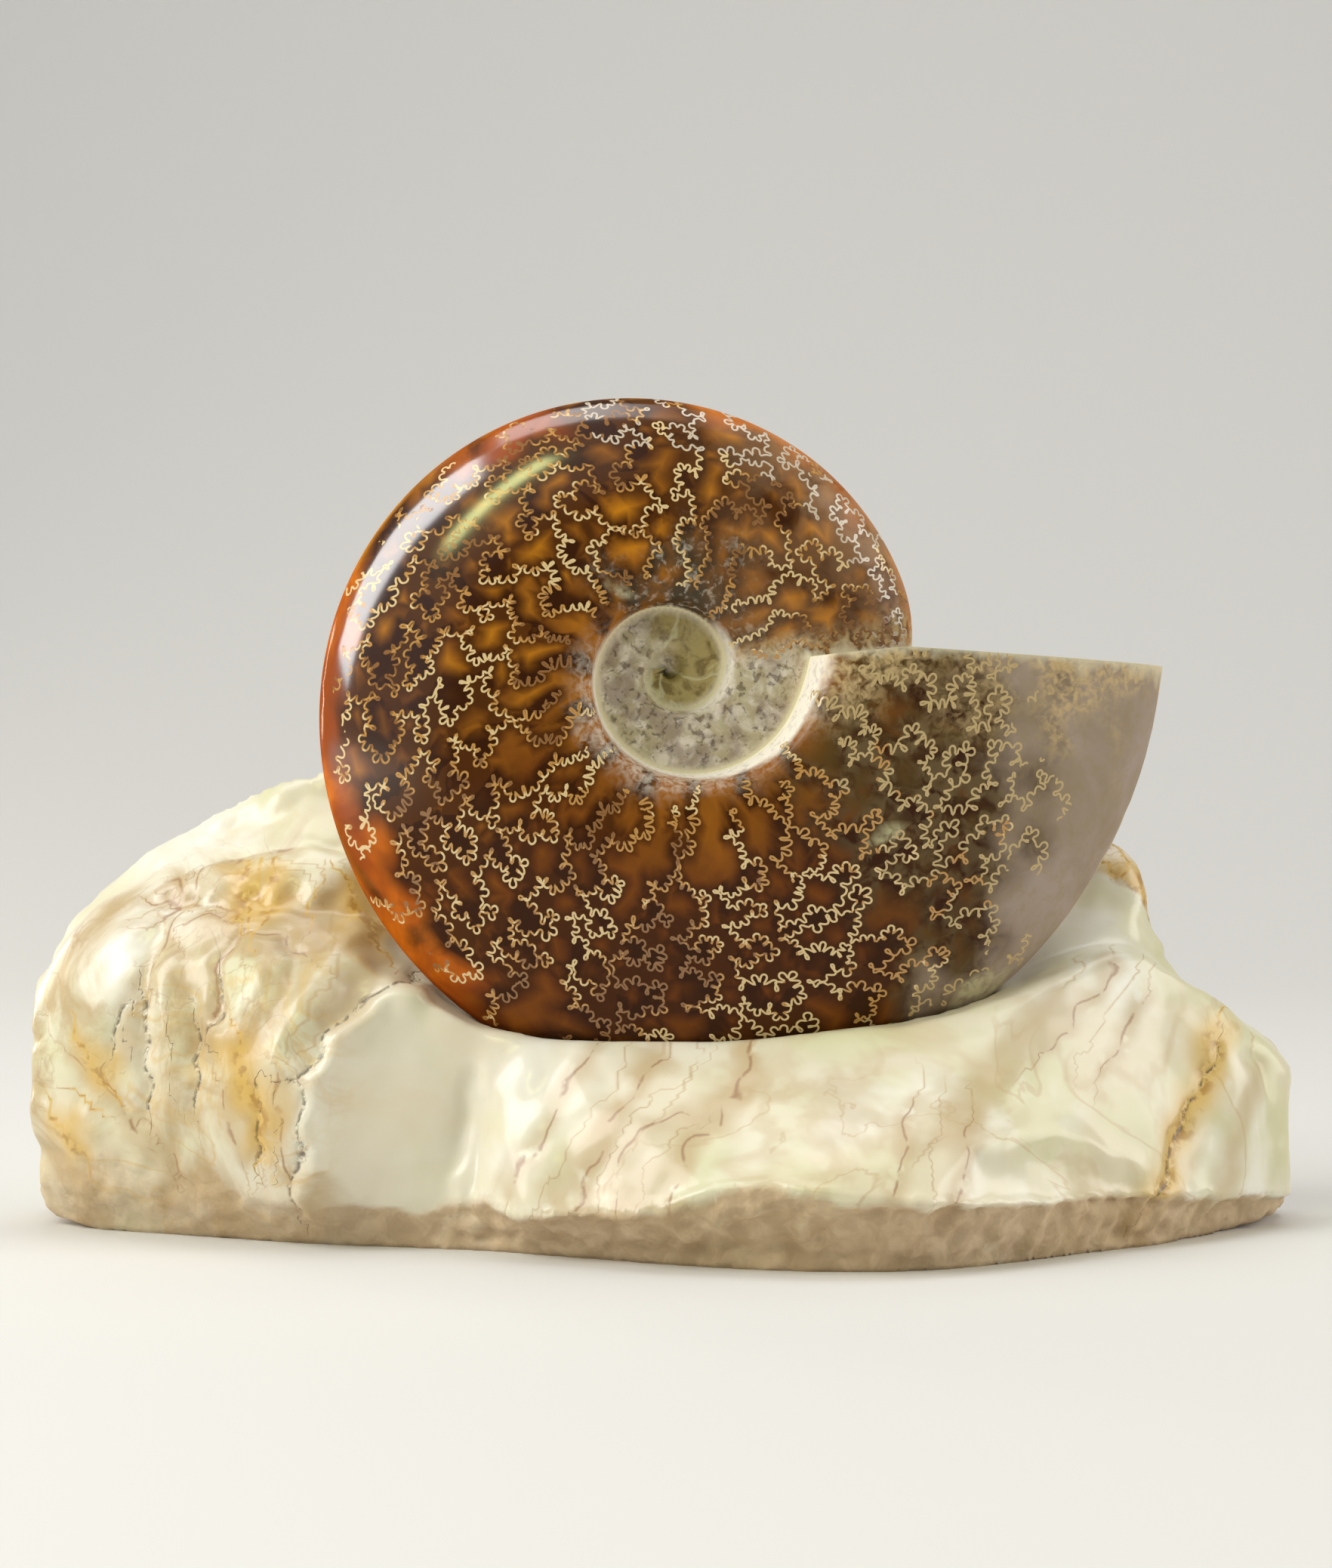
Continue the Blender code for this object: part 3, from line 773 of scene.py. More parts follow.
def shell_marks(angle, along, place, sutures):
    """What the shell's material needs to know of each point, as named values from 0 to 1."""
    points = coil_place(angle, along)
    x, z = points[:, 0], points[:, 2]
    wobble = 0.10 * wave_field(71, 12, 8, 25)(x, z)
    radius, length = section(angle, along)
    distance, side, _ = sutures.find(place)
    out_of_seam = radius - quarter_value(SEAM_RADII, angle)
    from_cut = (TURN - angle) * radius

    # Between the sutures it is open, least of all low down on the left and close to the seam.
    open_place = ramp(0.5, 2.0, distance + 1.2 * wobble) * (1 - 0.6 * ramp(3.3, 4.4, angle))
    open_place *= 0.35 + 0.65 * ramp(0.15, 0.4, along)

    # Stretches of the outer edge are orange: two above, one on the left and one low on the left.
    out = along + 0.5 * wobble
    rim = between(1.9, 2.1, 2.3, 2.5, angle) * ramp(0.80, 0.88, out)
    rim += between(2.75, 2.9, 3.3, 3.5, angle) * ramp(0.90, 0.97, out)
    rim += between(3.3, 3.5, 4.1, 4.35, angle) * ramp(0.80, 0.90, out)
    rim += 0.7 * ramp(1.65, 1.45, angle) * ramp(0.84, 0.96, out)

    # The umbilicus: its chalky wall, dust and dirt around it, the lines where turns meet.
    band = 0.45 + 1.4 * ramp(4.6, 6.2, angle)
    wall = ramp(band + 0.5, band, out_of_seam + wobble) * ramp(2.0, 3.6, angle)
    inner_wall = ramp(1.5, 0.7, out_of_seam + wobble) * between(-1.4, -0.9, 0.6, 1.0, angle)
    dust = 0.6 * ramp(6.5, 0.8, out_of_seam + 14.0 * wobble) * ramp(2.2, 3.6, angle)
    dust *= 0.4 + 0.6 * ramp(5.5, 4.7, angle)
    dirt = ramp(16.0, 6.0, out_of_seam + 30.0 * wobble) * between(0.0, 0.4, 2.1, 2.5, angle)
    dirt *= 0.6 + 0.4 * ramp(0.8, 1.3, angle)
    seam = ramp(0.75, 0.3, along * length) * ramp(-4.4, -3.4, angle)
    seam = np.maximum(seam, ramp(1.3, 0.35, (covered_along(angle) - along) * length) * (angle < 0))

    # By the sawn end: olive, then the grey mouth, beige frost along the cut, and a painted highlight along
    # the sawn edge and the mouth's outer edge.
    to_mouth = along - mouth_start(angle) + 0.6 * wobble
    mouth = ramp(-0.20, 0.06, to_mouth) * ramp(5.2, 5.45, angle)
    olive = ramp(5.2, 5.8, angle + 0.6 * wobble) * ramp(0.08, 0.2, along)
    olive = np.maximum(olive, ramp(-0.45, -0.15, to_mouth) * ramp(5.15, 5.4, angle))
    fuzz = ramp(16.0, 1.5, from_cut + 60.0 * wobble) * ramp(0.05, 0.1, along)
    fuzz *= 0.4 + 0.45 * ramp(-0.2, 0.0, to_mouth)
    below_cut = ramp(9.0, 2.0, from_cut + 20.0 * wobble) * ramp(0.45, 0.25, along)
    above_cut = ramp(7.0, 1.5, angle * radius + 20.0 * wobble) * ramp(-0.05, 0.0, angle)
    fuzz = np.maximum(fuzz, 0.9 * np.maximum(below_cut, above_cut))
    # Painted highlight: a pale line along the mouth's outer edge and the sawn edge, drawn in the seam
    # colour.
    edge_highlight = ramp(1.2, 0.4, (1 - along) * length) * ramp(5.3, 5.6, angle)
    edge_highlight = 0.6 * np.maximum(edge_highlight, ramp(0.9, 0.3, from_cut))

    marks = {
        "near_suture": np.exp(-np.maximum(distance - 0.2, 0) / 0.55),
        "behind_suture": ramp(2.8, 0.7, distance) * (side < 0),
        "open_place": open_place,
        "rim": rim,
        "wall": np.maximum(wall, inner_wall),
        "dust": dust,
        # The seam mark also carries the painted highlight along the sawn edge and the mouth's outer edge.
        "seam": np.maximum(seam, edge_highlight),
        "core": ramp(0.25, -0.05, angle) * ramp(0.5, 0.35, along),
        "mouth": mouth,
        "olive": olive,
        "fuzz": fuzz,
        "middle": ramp(-3.6, -5.6, angle + 4 * wobble),
        "pale": pale_marks(x + 4 * wobble, z - 4 * wobble) * (angle > -0.2),
        "lower": ramp(3.2, 4.2, angle + 2 * wobble) * ramp(0.1, 0.4, along),
        "veil": between(-0.2, 0.0, 0.8, 1.7, angle) * (0.3 + 0.7 * ramp(0.55, 0.95, along)),
        "gloss": between(1.4, 2.0, 3.2, 3.8, angle) * between(0.45, 0.7, 0.9, 1.0, along),
        "dirt": dirt,
    }
    return {name: np.clip(values, 0, 1) for name, values in marks.items()}


def shell_uv(angle, along, centre, end_points):
    """The shell's map: its front opened out flat, the back above it and the sawn end beside them.

    The centre is the number of the point that the middles of both sides share their place with.
    """
    radius, length = section(angle, along)
    opened = quarter_value(SEAM_RADII, angle) + along * length
    out = radius + (opened - radius) * ramp(0.0, 0.6, angle)
    flat = np.stack((out * np.cos(angle), out * np.sin(angle)), -1)
    low, high = flat.min(0), flat.max(0)
    size = 2.04 * (high[1] - low[1])
    front = (flat - low) / size + 0.005
    back = front + np.array((0.0, 0.5))
    sawn = end_points[:, 1::-1] / size + np.array((0.85, 0.1))
    return np.concatenate((front, back, front[[centre]], back[[centre]], sawn))


def innermost_rim(angle, along):
    """Numbers of the points round the coil's very start: out along its seam, back down its end."""
    start = np.flatnonzero((angle < FIRST_ANGLE + 1e-6) & (along > 1e-6))
    start = start[np.argsort(-along[start])][1:]
    seam = np.flatnonzero((along < 1e-7) & (angle < FIRST_ANGLE + TURN + 1e-6))
    return np.concatenate((seam[np.argsort(angle[seam])], start))


def shell_mesh(materials):
    """The whole shell, still in millimetres, the marks of its points and its map."""
    angle, along, faces, place, sutures = shell_sheet(suture_lines())
    count = len(angle)
    front = coil_place(angle, along)
    normals = sheet_normals(angle, along)
    faces = wound(front, faces, normals[faces[:, 0]])

    # Triangles on a suture take the material of its tone there.
    middle = place[faces].mean(1)
    distance, _, tip = sutures.find(middle)
    tone = suture_tone(*Sheet().rolled(middle[:, 0], middle[:, 1]), tip)
    number = np.where(distance < 0.44 * SUTURE_WIDTH, tone, 0)

    # The innermost turn is closed by a fan from its rim to the rim's middle.
    rim = innermost_rim(angle, along)
    centre = front[rim].mean(0)[None]
    fan = np.stack((rim, np.roll(rim, -1), np.full(len(rim), 2 * count)), -1)
    back_fan = np.where(fan == 2 * count, 2 * count + 1, fan + count)[:, ::-1]
    end_points, end_faces = sawn_face()
    end_faces = wound(end_points, end_faces, np.array((0.0, 0.0, 1.0)))
    end_normal = np.array((CUT_SLOPE, 0.0, 1.0)) / math.hypot(CUT_SLOPE, 1.0)

    # Front, back, the two middles and the sawn end, in this order.
    points = np.concatenate((front, front * MIRROR, centre, centre * MIRROR, end_points))
    end_normals = np.tile(end_normal, (len(end_points), 1))
    normal = np.concatenate((normals, normals * MIRROR, ((0, -1, 0), (0, 1, 0)), end_normals))
    first_end = 2 * count + 2
    triangles = (faces, (faces + count)[:, ::-1], fan, back_fan, end_faces + first_end)
    triangles = np.concatenate(triangles)
    sawn_number = np.full(len(end_faces), len(SUTURE_TONES) + 1)
    numbers = np.concatenate((number, number, np.zeros(len(fan) + len(back_fan)), sawn_number))
    loops = normal[triangles.ravel()].reshape(-1, 3, 3)

    # Weld the borders; the map is still read by the points that the corners had before.
    borders = border_points(faces)
    ends = border_points(end_faces) + first_end
    corner_points = triangles
    triangles = welded(points, np.concatenate((borders, borders + count, ends)))[triangles]
    whole = (triangles != np.roll(triangles, 1, axis=1)).all(1)
    corner_points = corner_points[whole]
    used, renumbered = compacted(triangles[whole], len(points))
    placed = yawed(points[used]) + COIL_CENTRE
    turned = yawed(loops[whole].reshape(-1, 3))

    marks = shell_marks(angle, along, place, sutures)
    spare = len(points) - 2 * count
    for name, values in marks.items():
        marks[name] = np.concatenate((values, values, np.full(spare, float(name == "core"))))[used]

    uv = shell_uv(angle, along, rim[0], end_points)[corner_points.ravel()]
    mesh = new_mesh("ammonite_shell", placed, renumbered, turned, materials, numbers[whole])
    return mesh, marks, uv


# ---- The stone: what is carved, broken and grown into it -----------------------------------------
# Paths are a few (x, z) points in millimetres in the stone's own frame, seen from the front.
# Each fold says how far it reaches to either side and how much it raises the surface.
FOLDS = (
    (5.5, 2.4, ((-84, 65), (-76, 66.2), (-68, 66), (-60, 64.5))),
    (1.7, -2.0, ((-94, 60.8), (-87, 60.1), (-80, 59.9), (-70, 60.4), (-58, 58.1))),
    (1.5, -1.3, ((-90, 59), (-87, 62), (-82.4, 66.8), (-77, 68.8), (-70.5, 69.9), (-58, 70.3))),
    (4.6, 3.0, ((-72.8, 49), (-72.3, 44.5))),
    (1.7, -1.7, ((-79.2, 41), (-79.6, 46), (-78.5, 51), (-75, 54), (-70, 54.4), (-66, 52), (-65.4, 47))),
    (2.8, 1.1, ((-83, 50), (-82.2, 46))),
    (2.4, 1.7, ((-56.5, 53.5), (-61.2, 46.4), (-65.4, 39), (-67.5, 33))),
    (2.3, -1.6, ((-50.5, 50), (-55.5, 44.8), (-60.5, 39), (-63.5, 34.5))),
    (1.9, 1.9, ((-42.5, 45.5), (-48.4, 43.6), (-53, 41), (-57, 37), (-60.2, 32.6), (-61.7, 27),
                (-61.9, 20), (-62.4, 13), (-63, 8))),
    (8.0, -2.0, ((-49, 37), (-49.5, 25), (-50, 10))),
    (8.0, 1.8, ((-104, 49), (-103, 43))),
    (1.9, -1.8, ((-92, 56), (-93.4, 48), (-94.6, 43.5), (-93.2, 36.8), (-92.2, 28), (-92.5, 22))),
    (3.0, 1.5, ((-89.4, 49), (-88.6, 38), (-88.8, 30), (-89.3, 21))),
    (2.6, -1.3, ((-85.7, 43.5), (-84.3, 38), (-83.3, 31), (-82.5, 24))),
    (3.4, 1.0, ((-78.5, 38), (-78, 28), (-77, 17))),
    (1.5, -1.6, ((-117, 36), (-109, 34), (-102.5, 28.4), (-96.5, 23.4), (-91, 18.6), (-85.6, 9.5))),
    (6.5, -2.0, ((-106, 23), (-99, 15), (-92, 7))),
    (2.6, 1.4, ((-117, 22), (-110, 21), (-104, 20))),
    (2.2, -1.7, ((-117, 13.6), (-110, 13), (-103, 11))),
    (2.4, 1.3, ((43, 13), (49, 17), (55, 20.6), (64, 21.4), (75, 18.6), (83, 15))),
    (5.5, -2.4, ((50, 13.4), (60, 15), (70, 13.6), (80, 11))),
    (1.6, 0.9, ((-31.5, 31), (-33.5, 20), (-37, 8))),
    (1.3, -0.8, ((-34.2, 30), (-36.2, 20), (-39.6, 8))),
    (7.0, 1.4, ((-12, 30), (0, 22), (6, 16))),
    (6.0, -1.2, ((-20, 28), (-17, 18), (-14, 11))),
    (5.0, 1.2, ((-27, 30), (-25, 20), (-24, 12))),
    (9.0, -1.3, ((86, 40), (90, 28), (92, 14))),
    (6.0, 1.5, ((99, 38), (103, 26), (103, 14))),
    (2.0, -1.2, ((108, 31), (111, 20), (110, 9))),
)
CRACKS = (
    ((-44, 47.2), (-48.6, 46.2), (-53.2, 43.9), (-57.7, 39.8), (-60.9, 35.7), (-63.2, 32.5),
     (-66.6, 30.4), (-64, 29.6), (-63.7, 23.4), (-64.1, 14.7), (-65.5, 12), (-65, 5)),
    ((-94.6, 43.5), (-93.2, 36.8), (-92.2, 28), (-92.5, 23)),
    ((-96.5, 42.5), (-98.8, 38.5), (-99.5, 35)),
    ((-84.2, 38.4), (-83.3, 32), (-83.6, 27)),
    ((-82, 37.5), (-79.6, 40), (-79.4, 46)),
    ((-70.5, 28), (-71, 22), (-71.6, 16)),
    ((99.4, 33), (96, 27.5), (92, 19.5), (88.4, 12), (84, 5)),
)
VEINS = (
    ((-92, 58), (-87, 61.6), (-82.4, 66.6), (-77, 68.8), (-70.5, 69.9), (-58, 70.3)),
    ((-88, 66), (-80, 71), (-70, 73), (-60, 75)),
    ((-86, 56.2), (-80.6, 56.7), (-75.5, 55.3), (-72.8, 54), (-67.8, 53.5), (-64.1, 51.2)),
    ((-94, 60.8), (-87, 60.1), (-80, 59.9), (-70, 60.4)),
    ((-90, 64), (-88.2, 59), (-91, 54), (-93, 47)),
    ((-79, 60), (-75.6, 55.6), (-79.6, 50), (-80, 42)),
    ((-78.3, 28), (-76.5, 21), (-74.6, 15)),
    ((-67.6, 31), (-67, 22), (-66.2, 13)),
    ((-109, 34), (-102.5, 28.4), (-96.5, 23.4), (-91, 18.6), (-85.6, 9.5)),
    ((-99, 26), (-95, 19), (-88, 10)),
    ((15.5, 36.9), (11.5, 27.7), (2.8, 17.4), (0.5, 9.4)),
    ((6.2, 26.3), (-1.8, 23.3), (-7, 19.8), (-8.8, 8.9)),
    ((80.4, 48.7), (74, 41), (66.3, 34.6)),
    ((86.6, 44), (83, 38), (78.8, 31.5)),
    ((41.5, 26.1), (39, 19), (37.5, 11.8)),
    ((51.4, 24.1), (50.6, 17), (47.4, 9.8)),
    ((-12, 36), (-19, 26), (-26, 12)),
    ((0, 35), (-9, 24), (-17, 10)),
)
GOLD_STREAKS = (
    ((100, 36), (96.4, 27.5), (92, 19.5), (88, 11), (83, 3)),
    ((-74.6, 34), (-73.4, 29), (-70, 25), (-70.6, 20)),
    ((-77, 64), (-76.6, 60.5)),
    ((-71.4, 63), (-71.8, 59.5)),
    ((-109, 19), (-107.4, 16)),
    ((-103, 32.5), (-101.5, 30)),
    ((-57, 60), (-53, 55)),
)
TAN_BANDS = (
    ((-90, 68), (-78, 72), (-62, 73.5), (-52, 71)),
    ((-57, 61), (-55, 56), (-52.5, 49), (-58.5, 41)),
    ((14, 34), (5, 22), (-6, 11)),
    ((-2, 34), (-10, 24), (-18, 12)),
    ((70, 44), (58, 33), (48, 24)),
    ((107, 30), (104, 20), (100, 9)),
    ((-74, 36), (-73, 27), (-72, 19)),
    ((-97, 38), (-99, 33)),
    # The last two bands lie in hollows of the high left shoulder: their tan is partly a real stain and
    # partly painted shade of those hollows.
    ((-80, 65), (-71, 61), (-63, 52), (-66, 45)),
    ((-88, 52), (-82, 44), (-80, 34)),
)
ROUGH_EDGE = (
    (-116, 11), (-107, 11.6), (-101, 15.5), (-96.5, 13), (-91, 12), (-86, 12), (-81.5, 11), (-73.7, 9),
    (-68, 7.5), (-62, 7), (-45, 6), (-37, 7.4), (-31, 8.9), (-25, 6.7), (-14, 8.3), (0, 10), (9, 13.5),
    (17, 14.5), (24, 13.6), (32, 12), (43, 11.7), (53, 11), (67, 10), (82, 9.5), (92, 8), (103, 6.5),
    (116, 5),
)
STONE_VOXEL = 1.15  # size in millimetres of the stone's even faces
STONE_GAP = 0.3  # millimetres that the stone keeps from the shell
BOX_MARGIN = 0.02  # millimetres that it keeps inside the frame's box
UNDERSIDE = 0.5  # millimetres up to which a point belongs to the flat underside
FOLD_DEPTH = 0.62  # part of its written height that each fold keeps
FOLD_FADE = 2.5  # millimetres from the shell over which the folds come in
CRACK_DEPTH = 0.8  # millimetres, across as well as down
BACK_SHIFT = 4.0  # where the middle of the front's lines falls on the back
BACK_SHARE = 0.92  # how wide they spread there
LINE_REACH = 20.0  # millimetres from a line beyond which its distance counts no further


def curve_through(path, step=1.2):
    """A smooth curve through a few points."""
    path = np.array(path, float)
    run = np.concatenate(([0.0], np.cumsum(np.hypot(*np.diff(path, axis=0).T))))
    if len(path) > 2:
        slope = np.gradient(path, run, axis=0)
    else:
        slope = np.diff(path, axis=0)[[0, 0]] / run[-1]
    place = np.linspace(0, run[-1], max(int(run[-1] / step), 2) + 1)
    index = np.clip(np.searchsorted(run, place, "right") - 1, 0, len(run) - 2)
    size = (run[index + 1] - run[index])[:, None]
    t = (place - run[index])[:, None] / size
    return cubic(t, path[index], path[index + 1], slope[index] * size, slope[index + 1] * size)


def from_path(places, path):
    """How far each place is from a path, with a minus sign to the right of it."""
    curve = curve_through(path)
    best = np.full(len(places), 1e3)
    signed = best.copy()
    for start, end in zip(curve[:-1], curve[1:]):
        way = end - start
        off = places - start
        share = np.clip(off @ way / (way @ way), 0, 1)
        away = np.linalg.norm(off - share[:, None] * way, axis=1)
        nearer = away < best
        best[nearer] = away[nearer]
        turned = way[0] * off[:, 1] - way[1] * off[:, 0]
        signed[nearer] = (away * np.where(turned < 0, -1, 1))[nearer]
    return signed


def nearest_of(places, paths):
    """The signed distance to the nearest of several paths."""
    distances = np.array([from_path(places, path) for path in paths])
    return np.take_along_axis(distances, np.abs(distances).argmin(0)[None], 0)[0]


def remeshed(source, voxel):
    """An even mesh of a solid, as points in millimetres and faces."""
    solid = bpy.data.objects.new("stone_solid", source.data.copy())
    bpy.context.scene.collection.objects.link(solid)
    cubes = solid.modifiers.new("even", "REMESH")
    cubes.mode = "VOXEL"
    cubes.voxel_size = voxel * MM
    bpy.context.view_layer.update()
    made = bpy.data.meshes.new_from_object(solid.evaluated_get(bpy.context.evaluated_depsgraph_get()))
    bpy.data.objects.remove(solid)
    return made


def relaxed(points, edges, rounds):
    """The points drawn towards the middle of their neighbours."""
    count = np.bincount(edges.ravel(), minlength=len(points))[:, None]
    for _ in range(rounds):
        total = np.zeros_like(points)
        np.add.at(total, edges[:, 0], points[edges[:, 1]])
        np.add.at(total, edges[:, 1], points[edges[:, 0]])
        points = 0.5 * points + 0.5 * total / count
    return points


def mesh_points(mesh):
    """A mesh's points in millimetres."""
    points = np.empty(3 * len(mesh.vertices), np.float32)
    mesh.vertices.foreach_get("co", points)
    return points.reshape(-1, 3).astype(float) / MM


def set_mesh_points(mesh, points):
    """Move a mesh's points to these places in millimetres."""
    mesh.vertices.foreach_set("co", (points * MM).astype(np.float32).ravel())
    mesh.update()


def mesh_normals(mesh):
    """The normals of a mesh's points."""
    normals = np.empty(3 * len(mesh.vertices), np.float32)
    mesh.vertex_normals.foreach_get("vector", normals)
    return normals.reshape(-1, 3).astype(float)


def clear_of_shell(points, shell):
    """How far each point is outside the shell, and the way out of it."""
    away = np.full(len(points), 99.0)
    way = np.zeros_like(points)
    for number, point in enumerate(points * MM):
        hit, normal, _, _ = shell.find_nearest(Vector(point), 8 * MM)
        if hit is not None:
            off = Vector(point) - hit
            away[number] = math.copysign(off.length, off.dot(normal)) / MM
            way[number] = normal
    return away, way


def within_bounds(points, shell):
    """The stone's points, moved out of the shell, into the frame's box and flat underneath."""
    away, way = clear_of_shell(points, shell)
    points = points + way * np.maximum(STONE_GAP - away, 0)[:, None]
    lowest, highest = (np.array(corner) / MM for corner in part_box("stone_base"))
    points = np.clip(points, lowest + BOX_MARGIN, highest - BOX_MARGIN)
    points[points[:, 2] < UNDERSIDE, 2] = lowest[2]
    return points


def stone_marks(x, seen, front, rough):
    """What the stone's material needs to know of each point: its foot, its left and its lines."""
    # The back repeats the front's lines the other way round; none crosses from side to side.
    mirrored = np.stack((BACK_SHIFT - BACK_SHARE * seen[:, 0], seen[:, 1]), -1)
    lined = np.where((front > 0.5)[:, None], seen, mirrored)
    turning = 4 * front * (1 - front)
    west = ramp(-50, -64, x) * front
    marks = {"rough": rough, "webbed": west, "broken": 0.9 - 0.4 * west}
    for name, paths in (("crack", CRACKS), ("vein", VEINS), ("gold", GOLD_STREAKS), ("tan", TAN_BANDS)):
        signed = np.clip(nearest_of(lined, paths), -LINE_REACH, LINE_REACH)
        marks[name + "_across"] = signed
        marks[name + "_away"] = np.abs(signed) + LINE_REACH * turning
    return marks


def stone_mesh(shell):
    """The stone with its folds, cracks and rough foot, and the marks of its points."""
    mesh = remeshed(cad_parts["stone_base"], STONE_VOXEL)
    edges = np.empty(2 * len(mesh.edges), np.int32)
    mesh.edges.foreach_get("vertices", edges)
    edges = edges.reshape(-1, 2)
    points = relaxed(mesh_points(mesh), edges, 2)
    set_mesh_points(mesh, points)
    normals = mesh_normals(mesh)
    away, _ = clear_of_shell(points, shell)

    x, y, z = (points - np.array((*SHELL_SHIFT, 0.0)) / MM).T
    slow = wave_field(81, 14, 22, 50)
    middle = wave_field(82, 16, 6, 16)
    chips = wave_field(83, 24, 2.5, 7)
    bends = wave_field(84, 12, 5, 12), wave_field(85, 12, 5, 12)
    front = ramp(0.35, -0.15, normals[:, 1] - 0.5 * np.maximum(normals[:, 2], 0)) * ramp(24, 12, y)
    seen = np.stack((x + 0.6 * bends[0](x, y, z), z + 0.6 * bends[1](x, y, z)), -1)

    # The rough foot: everything below its edge, which is blurred on the far left.
    edge_x, edge_z = np.array(ROUGH_EDGE, float).T
    low = np.interp(x, edge_x, edge_z) * front + (7 + 2 * slow(x * 2, y * 2)) * (1 - front)
    blur = 1 + 4.5 * ramp(-62, -72, x) * front
    rough = ramp(0.9, -0.5, (z - low - 0.5 * middle(x, y, z)) / blur)

    # What is carved and broken, as millimetres out of the smooth surface.
    rise = 0.45 * slow(x, y, z) + 0.09 * middle(x, y, z)
    rise += (1 - front) * (1.0 * slow(x * 1.6, y * 1.6, z * 1.6) + 0.3 * np.abs(middle(x, y, z)))
    for reach, height, path in FOLDS:
        rise += FOLD_DEPTH * front * height * np.exp(-((from_path(seen, path) / reach) ** 2))
    crack = nearest_of(seen, CRACKS)
    rise -= front * CRACK_DEPTH * np.exp(-((crack / CRACK_DEPTH) ** 2))
    under = ramp(-6.5, -1.0, x + 32) * rough * front
    rise -= under * (1.1 + 0.5 * chips(x, y, z)) + (1 - under) * rough * 0.25 * (1 + chips(x, y, z))
    rise += 0.9 * ramp(1.6, 0.0, np.abs(z - low - 0.6)) * ramp(-40, -30, x) * front
    rise *= ramp(STONE_GAP, FOLD_FADE, away) * ramp(0.0, 2.0, z)
    points = relaxed(points + normals * rise[:, None], edges, 1)
    set_mesh_points(mesh, within_bounds(points, shell))
    mesh.polygons.foreach_set("use_smooth", np.ones(len(mesh.polygons), bool))
    return mesh, stone_marks(x, seen, front, rough)


# ---- Colours and materials ----------------------------------------------------------------------
SHELL_SPECULAR = 0.0  # under its clear polish the shell itself does not shine
POLISH = 0.14  # roughness of that polish
COAT_IOR = 2.0  # how strongly a polish mirrors
SOFT_BREAK = 0.12  # part of a noise over which a broken line fades out


def tint(red, green, blue):
    """A colour written in 0 to 255 as screens show it, as the linear colour that shading wants."""
    return tuple(
        c / 12.92 if c <= 0.04045 else ((c + 0.055) / 1.055) ** 2.4
        for c in (red / 255, green / 255, blue / 255)
    ) + (1.0,)


class Nodes:
    """Short words for the nodes of one material or group."""

    def __init__(self, tree):
        """Work on this tree."""
        self.tree = tree

    def feed(self, socket, value):
        """Link an input to another node's output, or set its value."""
        if isinstance(value, bpy.types.NodeSocket):
            self.tree.links.new(value, socket)
        else:
            socket.default_value = value

    def add(self, kind, **inputs):
        """A new node with values or links for its named inputs."""
        node = self.tree.nodes.new(kind)
        for name, value in inputs.items():
            self.feed(node.inputs[name.replace("_", " ")], value)
        return node

    def place(self):
        """Coordinates that are fixed to the object."""
        return self.add("ShaderNodeTexCoord").outputs["Object"]

    def moved_place(self, shift):
        """The same moved by a number, so that one noise gives many."""
        moved = self.tree.nodes.new("ShaderNodeVectorMath")
        moved.operation = "ADD"
        self.feed(moved.inputs[0], self.place())
        self.feed(moved.inputs[1], shift)
        return moved.outputs[0]

    def noise(self, place, scale, detail, **more):
        """A noise's value at a place, around 0.5."""
        return self.add("ShaderNodeTexNoise", Vector=place, Scale=scale, Detail=detail, **more).outputs[0]

    def mark(self, name):
        """A value that the mesh keeps for each of its points."""
        node = self.tree.nodes.new("ShaderNodeAttribute")
        node.attribute_name = name
        return node.outputs["Fac"]

    def math(self, operation, *values):
        """The result of one step of arithmetic."""
        node = self.tree.nodes.new("ShaderNodeMath")
        node.operation = operation
        for socket, value in zip(node.inputs, values):
            self.feed(socket, value)
        return node.outputs[0]

    def product(self, first, *others):
        """Values multiplied together."""
        for other in others:
            first = self.math("MULTIPLY", first, other)
        return first

    def span(self, value, low, high, bottom=0.0, top=1.0):
        """The value's part between low and high, as bottom to top, with soft ends."""
        node = self.tree.nodes.new("ShaderNodeMapRange")
        node.interpolation_type = "SMOOTHSTEP"
        for name, number in zip(("Value", "From Min", "From Max", "To Min", "To Max"),
                                (value, low, high, bottom, top)):
            self.feed(node.inputs[name], number)
        return node.outputs[0]

    def lay(self, colour, new, *masks):
        """The new colour over the other, as far as the product of the masks goes."""
        node = self.tree.nodes.new("ShaderNodeMix")
        node.data_type = "RGBA"
        for number, value in ((0, self.product(*masks)), (6, colour), (7, new)):
            self.feed(node.inputs[number], value)
        return node.outputs[2]

    def group(self, name, **inputs):
        """The mask of one of the node groups, with its own values."""
        node = self.tree.nodes.new("ShaderNodeGroup")
        node.node_tree = bpy.data.node_groups[name]
        for key, value in inputs.items():
            self.feed(node.inputs[key], value)
        return node.outputs["Mask"]

    def mottle(self, scale, low, high, shift, detail=4.0, warp=0.6):
        """Soft cloudy patches."""
        return self.group("mottle", Scale=scale, Low=low, High=high, Shift=shift, Detail=detail, Warp=warp)

    def thread(self, scale, width, patches, shift):
        """Fine threads in some places."""
        return self.group("thread", Scale=scale, Width=width, Patches=patches, Shift=shift)

    def line(self, name, width, wander, scale, missing):
        """A wandering line along the paths that gave the two marks of this name."""
        across, away = self.mark(name + "_across"), self.mark(name + "_away")
        return self.group("line", Across=across, Away=away, Width=width, Wander=wander, Scale=scale,
                          Missing=missing)


